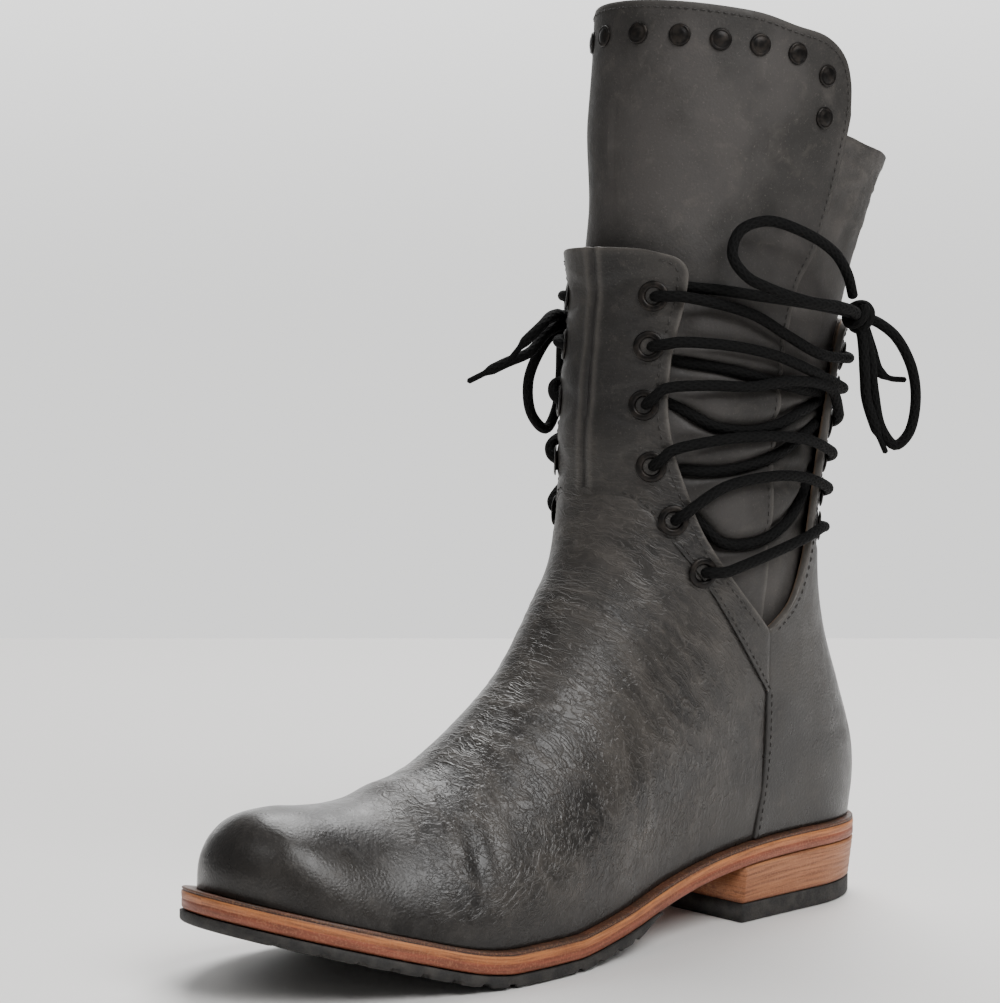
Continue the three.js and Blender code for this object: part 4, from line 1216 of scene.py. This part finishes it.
def gusset(y, z):
    """Height of the inner shaft over its CAD level in the throats: it swells out between
    the laces, dents in under each of them, and sinks at the front panel's edge."""
    dent = np.zeros_like(y)
    for line, deep in zip(bars_yz, bar_dents):
        dent = np.maximum(dent, deep * near(line, y, z, 3.0))
    low = smoothstep(0.43, 0.36, z / LEG_HEIGHT)
    tuck = 1.6 * near(panel_edge, y, z, 5.0) * (1 - low)
    rise = 3.4 + 0.8 * low + 0.4 * noise(np.stack([y / 9, z / 11, 0 * y], -1), 71)
    return throat_share(y, z) * (rise - tuck - dent)


def flap_outer(y, z, side):
    """Height of the flap: it waves where it stands free, and thins at its hem."""
    swell = noise(np.stack([y / 26, z / 30, side * 1.5], -1), 51) * 1.1
    swell = swell * smoothstep(236, 262, z)
    hem = -0.35 * near(flap_top, y, z, 0.8)
    return shaft_level(y, z) + swell + hem + gusset(y, z)


def flap_worn(y, z, side):
    """Rubbed edges of the flap."""
    edge = np.maximum(near(flap_edge, y, z, 1.2), near(flap_top, y, z, 1.2))
    return 0.35 * edge


def flap_dark(y, z, side):
    """Painted shade under the panels, and darker dye along the thick edge."""
    # Painted shade on the flap where it runs beneath the panels.
    low = 0.25 * (1 - smoothstep(232, 244, z))
    side_edge = near(flap_edge, y, z, 1.4) * smoothstep(225, 240, z)
    return np.clip(low + 0.65 * np.maximum(near(flap_top, y, z, 1.6), side_edge), 0, 1)


def shaft_folds(y, z, side):
    """Small wrinkles of the softer back panel."""
    return 0.8 * folds(z + 20, y * 1.2, 3.2, 8, 61) * smoothstep(225, 245, z)


def shaft_piece(name, cad_name, yz, outer, inner, **values):
    """Piece of the inner shaft."""
    piece = sheet(name, yz, outer, inner, values)
    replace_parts(piece, cad_name)
    return dress(piece, SHAFT_LEATHER)


def make_flap():
    """Flap round the front, up to its rounded corners."""
    left = crest(0.43 * LEG_HEIGHT, front[-1, 1] - 3.2)
    bottom = smooth_line(np.vstack([left[0], place([(0.36, 0.33), (0.254, 0.285)])]), 60)
    top = flap_top.copy()
    top[0] = left[-1]
    yz = patch(bottom, top, left, flap_edge, 170, 60)
    inner = lambda y, z, s: flap_outer(y, z, s) - SHAFT_WALL - 0.5 * near(flap_top, y, z, 3)
    shaft_piece("flap", "shaft_flap", yz, flap_outer, inner, dark=flap_dark, worn=flap_worn)


def back_throat(y, z):
    """Rise of the back panel in the throats, less where it goes beneath the flap."""
    clear = smoothstep(2, 9, distance(flap_edge, y, z)) * (1 - smoothstep(214, 232, z))
    return gusset(y, z) + 0.9 * clear


def back_inner(y, z, side):
    """Height of the back panel's inner face."""
    return shaft_level(y, z) - 2 * SHAFT_WALL - GAP + back_throat(y, z)


def back_outer(y, z, side):
    """Height of the back panel, under the flap by a gap."""
    return back_inner(y, z, side) + SHAFT_WALL + 0.5 * shaft_folds(y, z, side)


def make_shaft_back():
    """Back panel of the inner shaft, which runs on beneath the flap's free edges."""
    lapped = flap_edge.copy()
    lapped[:, 0] -= 0.05 * SOLE_LENGTH
    lapped = lapped[lapped[:, 1] < 0.865 * LEG_HEIGHT]
    left = spine(0.29 * LEG_HEIGHT, 0.8335 * LEG_HEIGHT)
    rim = place([(0.027, 0.843), (0.087, 0.85), (0.138, 0.859)])
    top = smooth_line(np.vstack([left[-1], rim, lapped[-1]]), 80)
    bottom = smooth_line(np.vstack([left[0], lapped[0]]), 20)
    yz = patch(bottom, top, left, lapped, 130, 52)
    shaft_piece("shaft_back_panel", "shaft_back", yz, back_outer, back_inner, fold=shaft_folds)


make_vamp()
make_panel()
make_quarter()
make_flap()
make_shaft_back()


# Sole

MEDIAL_RUN = 400.0  # where the UV's run starts on the medial side, clear of the lateral one


def plate(name, cad_name, from_y, to_y, stations, levels, across, material, bands=None):
    """Plate along the foot. Each level gives the edge's inset and its height as a
    function of y; at the heel's back and the toe's tip the levels close in a point, and
    any other end is cut square. Each station is a loop: up the lateral edge, over the
    top, down the medial edge and back below. UV: run along the foot and height. The
    bands give each level's place in the colours of stacked leather."""
    heel, toe = from_y == HEEL_BACK, to_y == TOE_TIP
    t = np.linspace(0, 1, stations)
    if heel and toe:
        turn = (1 - np.cos(math.pi * t)) / 2
    else:
        turn = 1 - np.cos(math.pi / 2 * t) if heel else np.sin(math.pi / 2 * t)
    rings = {1: [], -1: []}
    for inset, height in levels:
        y = (from_y - (inset if heel else 0)) * (1 - turn) + (to_y + (inset if toe else 0)) * turn
        for side in (1, -1):
            x = sole_x(side, y, inset)
            rings[side].append(np.stack([x, y, height(y)], 1))
    lateral, medial = np.array(rings[1]), np.array(rings[-1])
    s = np.linspace(0, 1, across + 2)[1:-1, None, None]
    top = lateral[-1] + (medial[-1] - lateral[-1]) * s
    bottom = medial[0] + (lateral[0] - medial[0]) * s
    loop = np.concatenate([lateral, top, medial[::-1], bottom])
    points = loop.transpose(1, 0, 2)
    rows, cols = points.shape[:2]
    quads = grid_faces(rows, cols, wrap=True).tolist()
    quads += [[end * cols + i for i in range(cols)]
              for end, closed in ((0, heel), (rows - 1, toe)) if not closed]
    count = len(levels)
    level = np.linspace(0, 1, count) if bands is None else np.array(bands)
    loop_level = np.concatenate([
        level, np.full(across, level[-1]), level[::-1], np.full(across, level[0])])
    run = lengths(np.stack([points[:, 0, 0], points[:, 0, 1]], 1))
    run = np.broadcast_to(run[:, None], (rows, cols)).ravel()
    rise = (points[..., 2] - midsole_bottom(points[..., 1])).ravel()
    side_turn = np.where(np.arange(cols) < count + across // 2, 0.0, MEDIAL_RUN)
    run = run + np.broadcast_to(side_turn, (rows, cols)).ravel()
    uv = np.array([(run[i] * MM, rise[i] * MM) for q in quads for i in q])
    values = {"level": np.broadcast_to(loop_level, (rows, cols)).ravel()}
    piece = mesh_piece(name, points.reshape(-1, 3), quads, values, uv)
    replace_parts(piece, cad_name)
    return dress(piece, material)


def make_midsole():
    """Leather midsole: rounded edges, and a groove that the edge iron left below the
    top."""
    profile = [  # inset, share of the thickness, place in the colour bands
        (3.0, 0.0, 0.0), (1.0, 0.0, 0.02), (0.35, 0.03, 0.05), (0.0, 0.1, 0.1),
        (-0.05, 0.3, 0.3), (0.0, 0.42, 0.42), (0.12, 0.455, 0.44), (0.12, 0.475, 0.47),
        (0.0, 0.51, 0.52), (-0.1, 0.68, 0.7), (0.0, 0.8, 0.85), (0.35, 0.84, 0.95),
        (0.4, 0.86, 1.0), (0.1, 0.89, 0.92), (0.12, 0.95, 0.93), (0.5, 0.99, 0.96),
        (1.2, 1.0, 1.0), (3.0, 1.0, 1.0)]
    levels = [(inset, lambda y, share=share: midsole_bottom(y) + share * MIDSOLE_THICKNESS)
              for inset, share, _ in profile]
    plate("midsole_leather", "midsole", HEEL_BACK, TOE_TIP, 260, levels, 8,
          MIDSOLE_LEATHER, [band for _, _, band in profile])


RUBBER_START = HEEL_BACK - 0.44 * SOLE_LENGTH
LUG_PITCH = 10.0


def rubber_bottom(y):
    """Underside of the rubber: full thickness, thinned where it runs into the waist."""
    full = smoothstep(0, 16, RUBBER_START - y)
    return midsole_bottom(y) - 1.4 - (RUBBER_THICKNESS - 1.4) * full


def lug_cut(y):
    """Depth of the grooves across the rubber: narrow round-edged notches at a pitch,
    none on the flat stretch that the boot stands on or near the ends."""
    first = RUBBER_START - 16
    phase = np.abs((first - y + LUG_PITCH / 2) % LUG_PITCH - LUG_PITCH / 2)
    notch = 1.5 * smoothstep(1.9, 1.1, phase)
    flat = (y < HEEL_BACK - 0.61 * SOLE_LENGTH) & (y > HEEL_BACK - 0.69 * SOLE_LENGTH)
    inside = (y < first + 2) & (y > TOE_TIP + 9)
    return np.where(flat | ~inside, 0, notch)


def make_rubber():
    """Rubber sole: a grooved underside and a rounded edge, below the midsole by a gap. Each
    level keeps a height over the underside, but stays a depth under the top."""
    steps = [  # inset, height, share of the grooves, depth
        (3.0, 0.0, 1.0, 0.0), (1.0, 0.0, 1.0, 0.0), (0.2, 0.2, 1.0, 0.5), (-0.3, 0.5, 0.6, 0.4),
        (-0.6, 1.0, 0.4, 0.3), (-0.6, math.inf, 0.0, 0.25), (-0.3, math.inf, 0.0, 0.0),
        (2.0, math.inf, 0.0, 0.0)]
    levels = [(inset, lambda y, rise=rise, share=share, depth=depth: np.minimum(
        rubber_bottom(y) + rise + share * lug_cut(y), midsole_bottom(y) - GAP - depth))
        for inset, rise, share, depth in steps]
    plate("rubber_sole", "forefoot_rubber", RUBBER_START, TOE_TIP, 420, levels, 6,
          RUBBER)


def make_heel():
    """Stacked heel: four lifts of leather with a fine line between, tapered down."""
    count = 25
    base = LIFT_THICKNESS + GAP
    top = lambda y: midsole_bottom(y) - GAP
    levels, bands = [], np.linspace(0, 1, count)
    for t in bands:
        end = t in (0, 1)
        groove = 0 if end else 0.12 * math.exp(-((((t * 4) % 1) - 0.5) / 0.06) ** 2)
        inset = 1.4 * (1 - t) + groove + 0.4 * end
        levels.append((inset, lambda y, t=t: base * (1 - t) + top(y) * t))
    plate("heel_stack", "heel_block", HEEL_BACK, HEEL_BACK - HEEL_LENGTH, 120, levels, 8,
          HEEL_LEATHER, bands)


def make_lift():
    """Top lift of black rubber with a softened lower edge."""
    steps = [(3.0, 0.0), (2.1, 0.0), (1.7, 0.2), (1.45, 0.7), (1.4, 3.0), (1.4, 6.1),
             (1.6, LIFT_THICKNESS), (3.0, LIFT_THICKNESS)]
    levels = [(inset, lambda y, height=height: np.full_like(y, height)) for inset, height in steps]
    plate("lift_rubber", "top_lift", HEEL_BACK, HEEL_BACK - HEEL_LENGTH, 120, levels, 8,
          RUBBER)


make_midsole()
make_rubber()
make_heel()
make_lift()


# Trim

def turned(name, names, profile, spots, normals, segments):
    """Lathe work set on the leather, in place of the CAD nodes of the given names: a
    closed profile of radius and height spun about each spot's normal."""
    profile = np.array(profile, float)
    angle = np.linspace(0, 2 * math.pi, segments, endpoint=False)
    guide = np.cross(normals, (0.0, 0.0, 1.0))
    guide /= np.linalg.norm(guide, axis=1, keepdims=True)
    other = np.cross(normals, guide)
    ring = np.cos(angle)[:, None] * guide[:, None] + np.sin(angle)[:, None] * other[:, None]
    points = (spots[:, None, None] + profile[None, :, None, :1] * ring[:, None]
              + profile[None, :, None, 1:] * normals[:, None, None])
    rows = len(profile)
    faces = [grid_faces(rows, segments, i * rows * segments, wrap=True) for i in range(len(spots))]
    piece = mesh_piece(name, points.reshape(-1, 3), np.vstack(faces))
    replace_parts(piece, *names)
    dress(piece, METAL)


def trim_spots(kind, lift):
    """Places on the form and normals of the CAD model's own trim, from its boxes."""
    names = [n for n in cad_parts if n.startswith(kind)]
    middles = np.array([[(a + b) / 2 / MM for a, b in zip(*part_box(n))] for n in names])
    side = np.sign(middles[:, 0])
    y, z = middles[:, 1].copy(), middles[:, 2].copy()
    for _ in range(3):
        base, normal = skin(side, y, z)
        guess = base + normal * lift(y, z, side)[:, None]
        y += middles[:, 1] - guess[:, 1]
        z += middles[:, 2] - guess[:, 2]
    base, normal = skin(side, y, z)
    return names, base, normal, y, z, side


EYELET_PROFILE = [
    (2.7, -2.6), (3.4, -2.6), (3.4, 0.25), (5.1, 0.2), (5.3, 0.34), (5.2, 0.62), (4.7, 0.86),
    (4.1, 0.98), (3.6, 0.95), (3.2, 0.82), (2.95, 0.5), (2.72, 0.0), (2.7, -2.6),
]
STUD_PROFILE = [
    (0.0, 0.25), (3.7, 0.25), (3.8, 0.45), (3.7, 0.75), (3.35, 1.05), (3.0, 1.08), (2.85, 1.0),
    (2.6, 1.05), (2.0, 1.32), (1.2, 1.46), (0.0, 1.5),
]


def make_eyelets():
    """Rings of the eyelets, pressed a little into the panels."""
    names, base, normal, y, z, _ = trim_spots("eyelet_", lambda y, z, s: flare(y, z))
    spots = base + normal * (flare(y, z) + OVERLAY_RISE - 0.15)[:, None]
    turned("eyelet_rings", names, EYELET_PROFILE, spots, normal, 36)


def make_studs():
    """Studs, pressed a little into the flap."""
    names, base, normal, y, z, side = trim_spots("stud_", lambda y, z, s: shaft_level(y, z) + 0.9)
    spots = base + normal * (flap_outer(y, z, side) - 0.2)[:, None]
    turned("flap_studs", names, STUD_PROFILE, spots, normal, 32)


make_eyelets()
make_studs()


# Stitches

def stitch_row(line, side, lift, pitch):
    """Centres, directions and normals of the stitches along a side-view line."""
    side = np.full(len(line), float(side))
    base, normal = skin(side, line[:, 0], line[:, 1])
    path = base + normal * lift(line[:, 0], line[:, 1], side)[:, None]
    count = max(int(lengths(path)[-1] / pitch), 1)
    middle = (np.arange(count) + 0.5) / count
    centre, up = spread(path, middle), spread(np.hstack([path, normal]), middle)[:, 3:]
    ahead = spread(path, np.minimum(middle + 0.002, 1)) - spread(path, np.maximum(middle - 0.002, 0))
    ahead /= np.linalg.norm(ahead, axis=1, keepdims=True)
    return centre, ahead, up


STITCH_SHAPE = np.array([  # place along, radius, height of a stitch's rings
    (-0.5, 0.1, -0.25), (-0.38, 0.24, 0.0), (0.0, 0.28, 0.14), (0.38, 0.24, 0.0),
    (0.5, 0.1, -0.25),
])
STITCH_CORNERS = 6


def make_stitches():
    """Thread on every seam: each stitch is a short bent tube, thinned and sunk at its
    two ends."""
    seams = [  # line, shift to its left, height of the leather, pitch
        (panel_edge[panel_edge[:, 1] > 0.332 * LEG_HEIGHT], -2.4, panel_outer, 3.0),
        (panel_seam[70:], 1.5, panel_outer, 3.0),
        (side_seam, -1.7, quarter_outer, 2.8),
        (quarter_edge[20:], -2.4, quarter_outer, 3.0),
        (flap_top, -2.2, flap_outer, 2.6),
        (flap_edge[flap_edge[:, 1] > 0.42 * LEG_HEIGHT], 2.4, flap_outer, 2.8),
    ]
    rows = [stitch_row(shifted(line, by), side, lift, pitch)
            for side in (1, -1) for line, by, lift, pitch in seams]
    centre, ahead, up = (np.vstack(c)[:, None] for c in zip(*rows))
    across = np.cross(up, ahead)
    along, radius, height = STITCH_SHAPE.T[..., None]
    middles = centre + along * (0.85 * STITCH_LENGTH) * ahead + height * up
    angle = np.linspace(0, 2 * math.pi, STITCH_CORNERS, endpoint=False)[:, None]
    ring = np.cos(angle) * across + np.sin(angle) * up
    points = middles[:, :, None] + radius[:, None] * ring[:, None]
    rings = len(STITCH_SHAPE)
    body = grid_faces(rings, STITCH_CORNERS, wrap=True)
    corner = np.arange(STITCH_CORNERS)
    caps = np.stack([corner[::-1], (rings - 1) * STITCH_CORNERS + corner])
    starts = (np.arange(len(centre)) * rings * STITCH_CORNERS)[:, None, None]
    faces = (starts + body).reshape(-1, 4).tolist()
    faces += (starts + caps).reshape(-1, STITCH_CORNERS).tolist()
    dress(mesh_piece("seam_stitches", points.reshape(-1, 3), faces), THREAD)


make_stitches()
dress(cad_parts["insole"], INSOLE_LEATHER)


# Floor and light

LIGHTS = [  # name, place, aim, size, power
    ("overhead", (-0.6, 0.6, 1.6), (0, -0.1, 0.1), 1.2, 40),
    ("key", (1.0, -0.15, 1.2), (0, -0.1, 0.08), 0.9, 20),
    ("toe", (0.1, -1.3, 1.1), (0, -0.15, 0.1), 0.5, 2),
]
FLOOR_NEAR, FLOOR_FAR, FLOOR_HALF_WIDTH = -3, 1.76, 4


def view_axes():
    """Level directions ahead of the camera and across its view."""
    turn = math.radians(CAMERA_TURN)
    return np.array([-math.sin(turn), math.cos(turn)]), np.array([math.cos(turn), math.sin(turn)])


def make_floor():
    """Pale floor whose far edge shows where the photograph's wall begins."""
    ahead, across = view_axes()
    eye = np.array(CAMERA_PLACE[:2])
    corners = [(FLOOR_NEAR, -FLOOR_HALF_WIDTH), (FLOOR_NEAR, FLOOR_HALF_WIDTH),
               (FLOOR_FAR, FLOOR_HALF_WIDTH), (FLOOR_FAR, -FLOOR_HALF_WIDTH)]
    spots = [eye + ahead * far + across * wide for far, wide in corners]
    mesh = bpy.data.meshes.new("floor")
    mesh.from_pydata([(float(x), float(y), -0.0002) for x, y in spots], [], [(0, 1, 2, 3)])
    floor = bpy.data.objects.new("floor", mesh)
    bpy.context.scene.collection.objects.link(floor)
    material, node, where, shader = start("painted_floor")
    tone = node("TexNoise", {"Vector": where, "Scale": 3.0, "Detail": 2.0})
    colour = layered(node, linear("#eceae7"), [(tone, "#f0eeec")])
    material.node_tree.links.new(colour, shader.inputs["Base Color"])
    shader.inputs["Roughness"].default_value = 0.6
    mesh.materials.append(material)


def area_light(name, spot, aim, size, power):
    """Square soft light that faces a point."""
    data = bpy.data.lights.new(name, "AREA")
    data.size = size
    data.energy = power
    light = bpy.data.objects.new(name, data)
    light.location = spot
    way = np.array(spot) - np.array(aim)
    flat = math.hypot(way[0], way[1])
    light.rotation_euler = (math.atan2(flat, way[2]), 0, math.atan2(way[0], -way[1]))
    bpy.context.scene.collection.objects.link(light)


def make_light():
    """Soft lights above, at the side and before the toe, and a dim room with a pale
    backdrop behind the boot: a world whose colour goes by direction."""
    world = bpy.data.worlds.new("studio")
    bpy.context.scene.world = world
    world.use_nodes = True
    node = functools.partial(add, world.node_tree)
    ahead, _ = view_axes()
    way = node("TexCoord", out="Generated")
    facing = node("VectorMath", (way, (*ahead, 0.0)), "Value", operation="DOT_PRODUCT")
    paper = node("MapRange", (facing, 0.75, 0.93), **SMOOTH)
    rise = node("MapRange", (node("SeparateXYZ", (way,), 2), -0.02, 0.2), **SMOOTH)
    pale = node("Mix", {0: rise, 6: (1.3, 1.3, 1.29, 1.0), 7: (2.2, 2.2, 2.19, 1.0)}, 2, **COLOUR)
    colour = node("Mix", {0: paper, 6: (0.2, 0.2, 0.2, 1.0), 7: pale}, 2, **COLOUR)
    world.node_tree.links.new(colour, world.node_tree.nodes["Background"].inputs["Color"])
    for row in LIGHTS:
        area_light(*row)


make_floor()
make_light()
